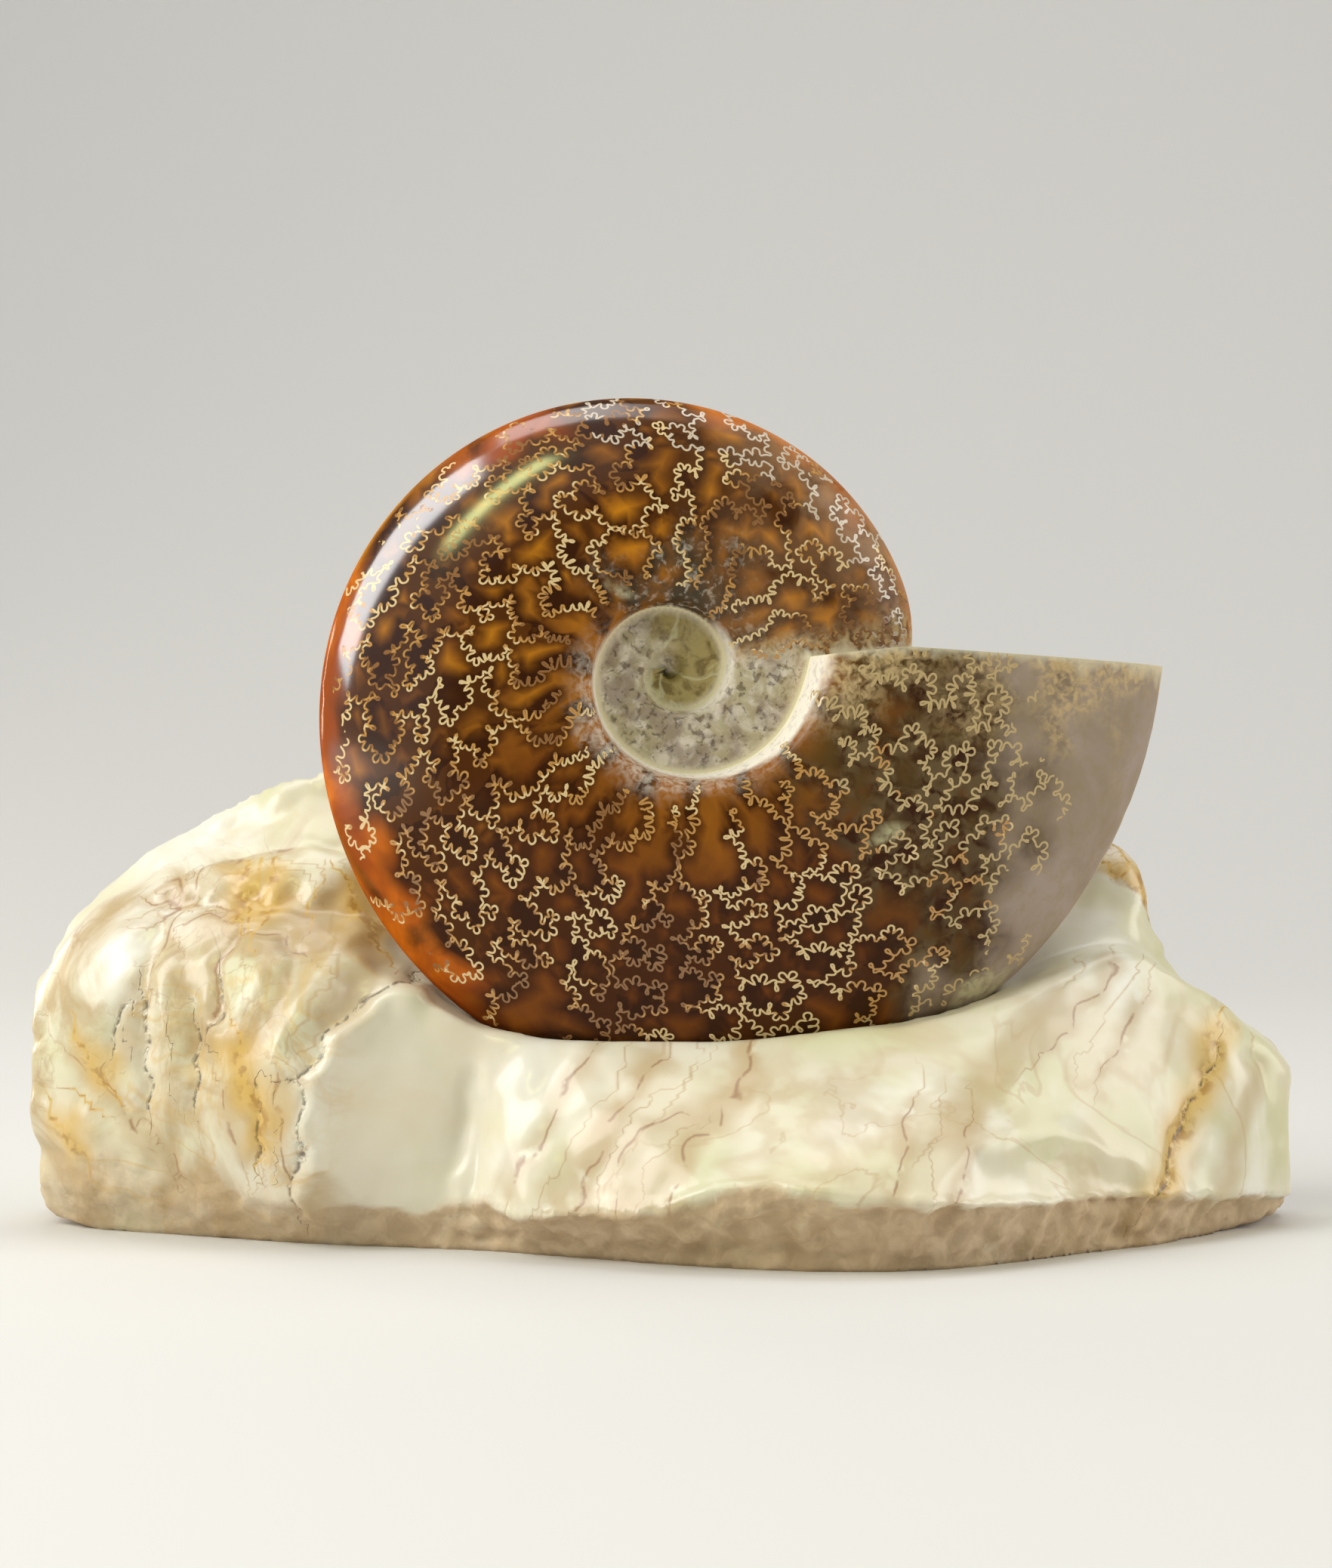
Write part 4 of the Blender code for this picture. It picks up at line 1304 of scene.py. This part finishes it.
def new_mask_group(name, **inputs):
    """A node group that makes one mask from named numbers: its nodes, its inputs and its result."""
    tree = bpy.data.node_groups.new(name, "ShaderNodeTree")
    for label, default in inputs.items():
        socket = tree.interface.new_socket(label, in_out="INPUT", socket_type="NodeSocketFloat")
        socket.default_value = default
    tree.interface.new_socket("Mask", in_out="OUTPUT", socket_type="NodeSocketFloat")
    nodes = Nodes(tree)
    return nodes, nodes.add("NodeGroupInput").outputs, nodes.add("NodeGroupOutput").inputs["Mask"]


def make_mottle_group():
    """Soft cloudy patches: a mask that is 1 where warped noise is high."""
    nodes, given, mask = new_mask_group("mottle", Scale=60.0, Detail=4.0, Warp=0.6, Low=0.4, High=0.6,
                                        Shift=0.0)
    noise = nodes.noise(nodes.moved_place(given["Shift"]), given["Scale"], given["Detail"],
                        Roughness=0.55, Distortion=given["Warp"])
    nodes.feed(mask, nodes.span(noise, given["Low"], given["High"]))


def make_line_group():
    """A wandering line, from the signed and the plain distance to its path in millimetres."""
    nodes, given, mask = new_mask_group("line", Across=0.0, Away=0.0, Width=0.5, Wander=1.0, Scale=200.0,
                                        Missing=0.4)
    place = nodes.place()
    noise = nodes.noise(place, given["Scale"], 3.0)
    bent = nodes.product(nodes.math("SUBTRACT", noise, 0.5), given["Wander"])
    off = nodes.math("ABSOLUTE", nodes.math("ADD", given["Across"], bent))
    line = nodes.span(off, given["Width"], 0.0)
    close = nodes.span(nodes.math("SUBTRACT", given["Away"], given["Wander"]), 6.0, 3.0)
    broken = nodes.noise(place, nodes.product(given["Scale"], 1.7), 2.0)
    kept = nodes.span(broken, given["Missing"], nodes.math("ADD", given["Missing"], SOFT_BREAK))
    nodes.feed(mask, nodes.product(line, close, kept))


def make_thread_group():
    """Fine threads where a warped noise passes its middle, in some places only."""
    nodes, given, mask = new_mask_group("thread", Scale=30.0, Width=0.01, Patches=0.5, Shift=0.0)
    noise = nodes.noise(nodes.moved_place(given["Shift"]), given["Scale"], 5.0, Roughness=0.5,
                        Distortion=0.8)
    line = nodes.span(nodes.math("ABSOLUTE", nodes.math("SUBTRACT", noise, 0.5)), given["Width"], 0.0)
    patch = nodes.noise(nodes.place(), nodes.product(given["Scale"], 0.6), 1.0)
    kept = nodes.span(patch, given["Patches"], nodes.math("ADD", given["Patches"], SOFT_BREAK))
    nodes.feed(mask, nodes.product(line, kept))


def new_material(name, roughness, coat=0.0, coat_roughness=0.05, specular=0.5):
    """A material with a clear coat, its nodes and its shader."""
    made = bpy.data.materials.new(name)
    made.use_nodes = True
    shader = made.node_tree.nodes["Principled BSDF"]
    shader.inputs["Roughness"].default_value = roughness
    shader.inputs["Specular IOR Level"].default_value = specular
    shader.inputs["Coat Weight"].default_value = coat
    shader.inputs["Coat Roughness"].default_value = coat_roughness
    shader.inputs["Coat IOR"].default_value = COAT_IOR
    return made, Nodes(made.node_tree), shader


def shell_material(colours):
    """Polished shell over its filling: amber and brown chambers, orange edge, grey mouth."""
    made, nodes, shader = new_material("polished_shell", 0.3, 0.7, POLISH, SHELL_SPECULAR)
    mark, mottle, lay = nodes.mark, nodes.mottle, nodes.lay

    # The side: brown, amber where it is open, redder low down, olive near the sawn end.
    colour = lay(colours.brown, colours.amber, mark("open_place"), mottle(55.0, 0.36, 0.6, 0.0))
    colour = lay(colour, colours.red_brown, mark("lower"), 0.85)
    colour = lay(colour, colours.deep, mottle(90.0, 0.3, 0.65, 3.1), 0.3)
    colour = lay(colour, colours.olive, mark("olive"), mottle(110.0, 0.2, 0.5, 7.7))
    shade = nodes.product(mark("behind_suture"), mottle(120.0, 0.3, 0.5, 1.7))
    shade = nodes.math("MAXIMUM", shade, nodes.product(mark("near_suture"), 0.8))
    colour = lay(colour, colours.deep, shade)
    edge = lay(colours.rim, colours.rim_red, mottle(45.0, 0.38, 0.62, 8.8))
    colour = lay(colour, edge, mark("rim"), mottle(70.0, 0.25, 0.5, 5.0))

    # Feathery beige beside the sutures there, a veil above, the grey mouth, frost and pale spots.
    feathers = mark("olive"), mark("near_suture"), mottle(300.0, 0.42, 0.58, 8.4, 6.0)
    colour = lay(colour, colours.feather, *feathers, 0.3)
    colour = lay(colour, colours.veil, mark("veil"), mottle(140.0, 0.2, 0.6, 8.0, 5.0), 0.6)
    stained = lay(colours.mouth, colours.mouth_stain, mottle(60.0, 0.3, 0.7, 2.9, 5.0), 0.7)
    stained = lay(stained, colours.feather, mottle(500.0, 0.5, 0.62, 7.1, 3.0), 0.25)
    colour = lay(colour, stained, mark("mouth"))
    colour = lay(colour, colours.frost, mark("fuzz"), mottle(650.0, 0.34, 0.66, 3.3, 7.0))
    colour = lay(colour, colours.pale, mark("pale"), mottle(420.0, 0.25, 0.6, 5.5, 5.0), 0.7)

    # Around the umbilicus: grime with pale flecks in it, and dust.
    grime = lay(colours.dirt, colours.dust, mottle(700.0, 0.5, 0.72, 6.0, 5.0), 0.6)
    colour = lay(colour, grime, mark("dirt"), mottle(130.0, 0.3, 0.6, 4.1, 5.0))
    colour = lay(colour, colours.dust, mark("dust"), mottle(850.0, 0.3, 0.7, 2.2, 6.0))

    # Inside it: worn grey turns with dark grains, yellowed ones in the middle, and chalky walls.
    grains = mottle(800.0, 0.5, 0.66, 6.6, 4.0)
    worn = lay(colours.core, colours.dust, mottle(300.0, 0.40, 0.62, 9.1, 6.0))
    worn = lay(worn, colours.mauve, mottle(170.0, 0.46, 0.66, 4.4, 5.0), 0.7)
    worn = lay(worn, colours.deep, grains, 0.6)
    yellowed = lay(colours.olive_core, colours.olive, mottle(330.0, 0.44, 0.62, 1.9, 4.0), 0.6)
    yellowed = lay(yellowed, colours.pale, nodes.thread(95.0, 0.045, 0.38, 2.0), 0.8)
    worn = lay(worn, yellowed, mark("middle"))
    colour = lay(colour, worn, mark("core"))
    colour = lay(colour, lay(colours.wall, colours.mauve, grains, 0.3), mark("wall"))
    # The seam colour also paints the highlight along the sawn edge and the mouth's outer edge.
    colour = lay(colour, colours.seam, mark("seam"))
    nodes.feed(shader.inputs["Base Color"], colour)
    chalky = nodes.math("MAXIMUM", mark("wall"), mark("core"))
    nodes.feed(shader.inputs["Roughness"], nodes.span(chalky, 0.0, 1.0, 0.28, 0.5))
    nodes.feed(shader.inputs["Coat Weight"], nodes.span(mark("gloss"), 0.0, 1.0, 0.08, 1.0))
    return made


def plain_polished(name, colour):
    """A polished material of one colour."""
    made, _, shader = new_material(name, 0.3, 0.5, POLISH, SHELL_SPECULAR)
    shader.inputs["Base Color"].default_value = colour
    return made


def marble_material(colours):
    """Ivory marble: clouds, brown veins, dark cracks, gold streaks and a rough foot."""
    made, nodes, shader = new_material("ivory_marble_stone", 0.3, 0.13, 0.12)
    shader.inputs["Subsurface Weight"].default_value = 0.12
    shader.inputs["Subsurface Radius"].default_value = (0.006, 0.005, 0.003)
    mark, mottle, line, thread, lay = nodes.mark, nodes.mottle, nodes.line, nodes.thread, nodes.lay

    # Clouds and tan bands; the high left shoulder has its own webs and stains.
    colour = lay(colours.ivory, colours.green_cloud, mottle(22.0, 0.35, 0.65, 0.0))
    colour = lay(colour, colours.warm_cloud, mottle(35.0, 0.42, 0.66, 3.0), 0.8)
    colour = lay(colour, colours.white_cloud, mottle(28.0, 0.48, 0.68, 6.0), 0.8)
    # Some tan bands are partly painted shade in the hollows of the high left shoulder, over a real stain
    # there.
    colour = lay(colour, colours.tan, line("tan", 6.0, 5.0, 60.0, 0.28), 0.6)
    colour = lay(colour, colours.tan, thread(18.0, 0.035, 0.46, 1.0), 0.4)
    colour = lay(colour, colours.tan, thread(26.0, 0.012, 0.5, 4.0), 0.5)
    colour = lay(colour, colours.gold, mark("webbed"), thread(50.0, 0.03, 0.44, 8.0), 0.4)
    colour = lay(colour, colours.stain, mark("webbed"), mottle(48.0, 0.40, 0.64, 9.0, 6.0, 1.2), 0.8)
    colour = lay(colour, colours.vein, mark("webbed"), thread(75.0, 0.018, 0.46, 12.0), 0.3)

    # Veins in their tan halos, gold streaks with rust in them, dotted cracks, the broken foot.
    colour = lay(colour, colours.tan, line("vein", 3.4, 2.4, 120.0, 0.28), 0.55)
    colour = lay(colour, colours.vein, line("vein", 0.45, 2.2, 160.0, 0.4), 0.75)
    colour = lay(colour, colours.gold, line("gold", 6.5, 3.0, 90.0, 0.2), 0.85)
    colour = lay(colour, colours.rust, line("gold", 2.6, 4.5, 260.0, 0.45), 0.6)
    colour = lay(colour, colours.crack, line("crack", 0.42, 1.0, 420.0, 0.45), 0.8)
    rough = nodes.product(mark("rough"), mottle(150.0, 0.05, 0.4, 5.0))
    coarse = lay(colours.rough, colours.rough_dark, mottle(220.0, 0.35, 0.6, 2.0, 6.0))
    nodes.feed(shader.inputs["Base Color"], lay(colour, coarse, rough, mark("broken")))
    nodes.feed(shader.inputs["Roughness"], nodes.span(rough, 0.0, 1.0, 0.34, 0.8))
    nodes.feed(shader.inputs["Coat Weight"], nodes.span(rough, 0.0, 1.0, 0.13, 0.0))

    # Grain on the foot, and the cracks cut in.
    grain = nodes.noise(nodes.place(), 420.0, 5.0)
    height = nodes.product(grain, nodes.span(rough, 0.0, 1.0, 0.04, 1.0))
    cut = nodes.product(line("crack", 0.7, 1.0, 420.0, 0.40), 0.8)
    height = nodes.math("SUBTRACT", height, cut)
    bump = nodes.add("ShaderNodeBump", Height=height, Strength=0.6, Distance=0.0006)
    nodes.feed(shader.inputs["Normal"], bump.outputs[0])
    return made


def colour_property(name, description, default):
    """A property for one opaque colour."""
    return bpy.props.FloatVectorProperty(
        name=name, description=description, default=default, subtype="COLOR", size=4, min=0, max=1
    )


class ShellColours(bpy.types.PropertyGroup):
    """The colours of the shell and its sutures"""

    brown: colour_property("Brown", "Most of the shell's side", tint(152, 92, 28))
    red_brown: colour_property("Red brown", "The lower side", tint(120, 63, 18))
    amber: colour_property("Amber", "Open places between the sutures", tint(214, 138, 30))
    deep: colour_property("Deep brown", "Beside the sutures, where the filling is dark", tint(58, 29, 9))
    rim: colour_property("Orange edge", "The outer edge on the left", tint(212, 112, 24))
    rim_red: colour_property("Red edge", "Redder stretches of the outer edge", tint(156, 72, 16))
    olive: colour_property("Olive", "The side near the sawn end", tint(88, 67, 32))
    mouth: colour_property("Grey mouth", "The last part, which has no sutures", tint(172, 155, 142))
    mouth_stain: colour_property("Mouth stain", "Browner patches of the grey mouth", tint(148, 130, 102))
    feather: colour_property("Feather", "Fuzzy beige near the sawn end", tint(156, 138, 98))
    veil: colour_property("Veil", "Beige veil over the upper right", tint(196, 154, 114))
    frost: colour_property("Frost", "Fuzzy beige along the sawn edge", tint(212, 184, 134))
    pale: colour_property("Pale spots", "A few spots on the side", tint(206, 200, 158))
    core: colour_property("Core", "The worn inner turns", tint(188, 176, 142))
    mauve: colour_property("Mauve", "Patches of the worn inner turns", tint(150, 132, 118))
    olive_core: colour_property("Olive core", "The middle of the coil", tint(180, 162, 108))
    dirt: colour_property("Dirt", "Dark patch above the coil's middle", tint(76, 66, 50))
    dust: colour_property("Dust", "Pale dusting by the umbilicus", tint(226, 216, 198))
    wall: colour_property("Wall", "The umbilicus wall", tint(236, 229, 214))
    # The seam colour also paints the highlight along the sawn edge and the mouth's outer edge.
    seam: colour_property("Seam", "The line where two turns meet", tint(238, 230, 198))
    suture_cream: colour_property("Cream suture", "Brightest sutures", tint(228, 200, 146))
    suture_gold: colour_property("Gold suture", "Warmer sutures", tint(196, 146, 78))
    suture_brown: colour_property("Brown suture", "Faint sutures", tint(146, 102, 56))
    suture_white: colour_property("White suture", "Sutures on the upper edge", tint(206, 190, 168))
    suture_beige: colour_property("Beige suture", "Sutures near the sawn end", tint(198, 172, 120))
    sawn: colour_property("Sawn end", "The flat sawn end", tint(140, 122, 104))


class StoneColours(bpy.types.PropertyGroup):
    """The colours of the stone"""

    ivory: colour_property("Ivory", "Most of the stone", tint(236, 228, 208))
    green_cloud: colour_property("Greenish cloud", "Wide soft patches", tint(220, 216, 174))
    warm_cloud: colour_property("Warm cloud", "Wide soft patches", tint(232, 219, 190))
    white_cloud: colour_property("White cloud", "Wide soft patches", tint(247, 244, 232))
    tan: colour_property("Tan", "Bands and the edges of veins", tint(200, 174, 130))
    stain: colour_property("Stain", "Patches of the high left shoulder", tint(188, 158, 108))
    vein: colour_property("Vein", "Thin brown veins", tint(160, 118, 82))
    gold: colour_property("Gold", "Gold streaks", tint(218, 178, 84))
    rust: colour_property("Rust", "Within the gold streaks", tint(164, 112, 36))
    crack: colour_property("Crack", "Dark dotted cracks", tint(82, 64, 48))
    rough: colour_property("Rough", "The broken foot", tint(210, 184, 148))
    rough_dark: colour_property("Rough, darker", "Patches of the broken foot", tint(188, 160, 124))


def write_marks(mesh, marks):
    """Keep named values at a mesh's points, where its material reads them."""
    for name, values in marks.items():
        layer = mesh.attributes.new(name, "FLOAT", "POINT")
        layer.data.foreach_set("value", values.astype(np.float32))


def fit_to_frame(mesh):
    """Shrink the shell's mesh by a hair and put it in the middle of its box in the frame."""
    points = np.empty(3 * len(mesh.vertices), np.float32)
    mesh.vertices.foreach_get("co", points)
    points = points.reshape(-1, 3)
    low, high = (np.array(corner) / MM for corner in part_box("ammonite"))
    middle = (points.min(0) + points.max(0)) / 2
    set_mesh_points(mesh, (points - middle) * SHRINK + (low + high) / 2)


class OBJECT_OT_ammonite_shell(bpy.types.Operator):
    """Build the coiled shell with its sutures in place of the frame's plain one"""

    bl_idname = "object.ammonite_shell"
    bl_label = "Ammonite Shell"

    def execute(self, context):
        """Make the materials and the mesh, and set it in the frame."""
        colours = context.scene.shell_colours
        make_mottle_group()
        make_thread_group()
        materials = [shell_material(colours)]
        materials += [plain_polished(tone, getattr(colours, tone)) for tone in SUTURE_TONES]
        materials.append(plain_polished("sawn_end", colours.sawn))
        mesh, marks, uv = shell_mesh(materials)
        write_marks(mesh, marks)
        layer = mesh.uv_layers.new(name="OFBake")
        layer.data.foreach_set("uv", uv.astype(np.float32).ravel())
        fit_to_frame(mesh)
        shell = bpy.data.objects.new("ammonite_shell", mesh)
        context.scene.collection.objects.link(shell)
        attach(shell, "root")
        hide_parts("ammonite")
        return {"FINISHED"}


class OBJECT_OT_ammonite_stone(bpy.types.Operator):
    """Build the carved stone in place of the frame's plain one"""

    bl_idname = "object.ammonite_stone"
    bl_label = "Ammonite Stone"

    def execute(self, context):
        """Carve the mesh clear of the frame's shell, colour it and set it in the frame."""
        make_line_group()
        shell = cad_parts["ammonite"].data
        corners = [vertex.co for vertex in shell.vertices]
        tree = BVHTree.FromPolygons(corners, [tuple(face.vertices) for face in shell.polygons])
        mesh, marks = stone_mesh(tree)
        write_marks(mesh, marks)
        mesh.materials.clear()
        mesh.materials.append(marble_material(context.scene.stone_colours))
        stone = bpy.data.objects.new("marble_stone", mesh)
        context.scene.collection.objects.link(stone)
        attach(stone, "root")
        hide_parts("stone_base")
        return {"FINISHED"}


# ---- Stage: floor, light and camera -------------------------------------------------------------
class StageSizes(bpy.types.PropertyGroup):
    """The sizes of the floor and where the camera stands"""

    floor: bpy.props.FloatProperty(
        name="Floor", description="Across the pale floor", default=6.0, subtype="DISTANCE", unit="LENGTH"
    )
    floor_depth: bpy.props.FloatProperty(
        name="Floor depth", description="From the stone to where the floor curves up",
        default=0.5, subtype="DISTANCE", unit="LENGTH",
    )
    floor_bend: bpy.props.FloatProperty(
        name="Floor bend", description="Radius of that curve", default=0.9, subtype="DISTANCE", unit="LENGTH"
    )
    distance: bpy.props.FloatProperty(
        name="Camera distance", description="From the shell's middle to the camera",
        default=0.55, subtype="DISTANCE", unit="LENGTH",
    )
    height: bpy.props.FloatProperty(
        name="Camera height", description="Of the camera above the floor",
        default=0.093, subtype="DISTANCE", unit="LENGTH",
    )
    tilt: bpy.props.FloatProperty(
        name="Camera tilt", description="How far the camera looks down",
        default=math.radians(1.18), subtype="ANGLE", unit="ROTATION",
    )
    lens: bpy.props.FloatProperty(
        name="Lens", description="Focal length on a 36 mm frame", default=70.65, subtype="DISTANCE_CAMERA"
    )
    floor_colour: colour_property("Floor colour", "Of the plain floor", tint(220, 218, 214))


# Each strip of light: where it starts and ends and how wide it is, in metres, its power in watts
# and its colour. The window and the leaves are what shines in the shell's upper left.
LIGHTS = {
    "window": ((-1.10, -0.29, 0.30), (-0.48, -0.42, 1.06), 0.5, 9.5, (1.0, 1.0, 1.0)),
    "leaves": ((-0.44, -0.90, 0.64), (-0.12, -0.74, 0.97), 0.10, 1.2, (0.95, 1.0, 0.42)),
    "edge": ((-0.75, 0.55, 0.05), (-0.75, 0.55, 0.32), 0.12, 1.5, (1.0, 0.93, 0.74)),
    "ceiling": ((-0.7, 0.15, 1.7), (0.9, 0.15, 1.7), 1.0, 12.0, (1.0, 1.0, 1.0)),
    "side": ((1.35, -0.2, 0.2), (1.35, -0.2, 1.2), 0.8, 10.0, (1.0, 0.97, 0.92)),
}


def add_strip(name, start, end, width, power, colour):
    """A soft rectangular light from start to end, turned towards the shell."""
    start, end = Vector(start), Vector(end)
    place = (start + end) / 2
    out = (place - Vector((0.0, 0.0, 0.1))).normalized()
    long = (end - start).normalized()
    side = out.cross(long).normalized()
    light = bpy.data.lights.new(name, "AREA")
    light.shape = "RECTANGLE"
    light.size, light.size_y = (end - start).length, width
    light.energy = power
    light.color = colour
    lamp = bpy.data.objects.new(name, light)
    turned = Matrix((side.cross(out), side, out)).transposed().to_4x4()
    lamp.matrix_world = Matrix.Translation(place) @ turned
    bpy.context.scene.collection.objects.link(lamp)


def sweep_mesh(sizes, steps=16):
    """A plain floor that curves up into a plain backdrop."""
    half, bend = sizes.floor / 2, sizes.floor_bend
    profile = [(-half, 0.0), (sizes.floor_depth, 0.0)]
    for step in range(1, steps + 1):
        turn = math.pi / 2 * step / steps
        profile.append((sizes.floor_depth + bend * math.sin(turn), bend * (1 - math.cos(turn))))
    profile.append((sizes.floor_depth + bend, half))
    made = bmesh.new()
    rows = [[made.verts.new((x, y, z)) for x in (-half, half)] for y, z in profile]
    for here, there in zip(rows, rows[1:]):
        made.faces.new((here[0], here[1], there[1], there[0])).smooth = True
    mesh = bpy.data.meshes.new("floor")
    made.to_mesh(mesh)
    made.free()
    return mesh


class OBJECT_OT_ammonite_stage(bpy.types.Operator):
    """Lay the plain pale floor, hang the soft studio lights and set the camera"""

    bl_idname = "object.ammonite_stage"
    bl_label = "Ammonite Stage"

    def execute(self, context):
        """Make the floor, the room's light, five soft lights and the camera."""
        sizes = context.scene.stage_sizes
        paint, _, shader = new_material("plain_floor", 0.85)
        shader.inputs["Base Color"].default_value = sizes.floor_colour
        floor = bpy.data.objects.new("floor", sweep_mesh(sizes))
        floor.data.materials.append(paint)
        context.scene.collection.objects.link(floor)

        world = bpy.data.worlds.new("soft_room")
        world.use_nodes = True
        world.node_tree.nodes["Background"].inputs["Color"].default_value = tint(236, 240, 246)
        world.node_tree.nodes["Background"].inputs["Strength"].default_value = 0.2
        context.scene.world = world
        context.scene.view_settings.view_transform = "Standard"
        for name, light in LIGHTS.items():
            add_strip(name, *light)

        camera = bpy.data.objects.new("camera", bpy.data.cameras.new("camera"))
        camera.location = (SHELL_SHIFT[0], SHELL_SHIFT[1] - sizes.distance, sizes.height)
        camera.rotation_euler = (math.pi / 2 - sizes.tilt, 0.0, 0.0)
        camera.data.lens = sizes.lens
        camera.data.clip_start = 0.01
        context.scene.collection.objects.link(camera)
        context.scene.camera = camera
        return {"FINISHED"}


class VIEW3D_PT_ammonite(bpy.types.Panel):
    """Every step of the ammonite and its stage, in the order they are built"""

    bl_label = "Ammonite on a Stone"
    bl_space_type = "VIEW_3D"
    bl_region_type = "UI"
    bl_category = "Ammonite"

    def draw(self, context):
        """List the operators, and under them every property."""
        for made in OPERATORS:
            self.layout.operator(made.bl_idname)
        for name, kind in GROUPS.items():
            box = self.layout.box()
            for sized in kind.__annotations__:
                box.prop(getattr(context.scene, name), sized)


GROUPS = {"shell_colours": ShellColours, "stone_colours": StoneColours, "stage_sizes": StageSizes}
OPERATORS = (OBJECT_OT_ammonite_shell, OBJECT_OT_ammonite_stone, OBJECT_OT_ammonite_stage)


def register():
    """Register the property groups, the operators and the panel."""
    for name, group in GROUPS.items():
        bpy.utils.register_class(group)
        setattr(bpy.types.Scene, name, bpy.props.PointerProperty(type=group))
    for made in (*OPERATORS, VIEW3D_PT_ammonite):
        bpy.utils.register_class(made)


def unregister():
    """Take them all away again."""
    for made in (VIEW3D_PT_ammonite, *reversed(OPERATORS)):
        bpy.utils.unregister_class(made)
    for name, group in GROUPS.items():
        delattr(bpy.types.Scene, name)
        bpy.utils.unregister_class(group)


def main():
    """Build both pieces and the stage."""
    register()
    bpy.ops.object.ammonite_shell()
    bpy.ops.object.ammonite_stone()
    bpy.ops.object.ammonite_stage()


if __name__ == "__main__":
    main()
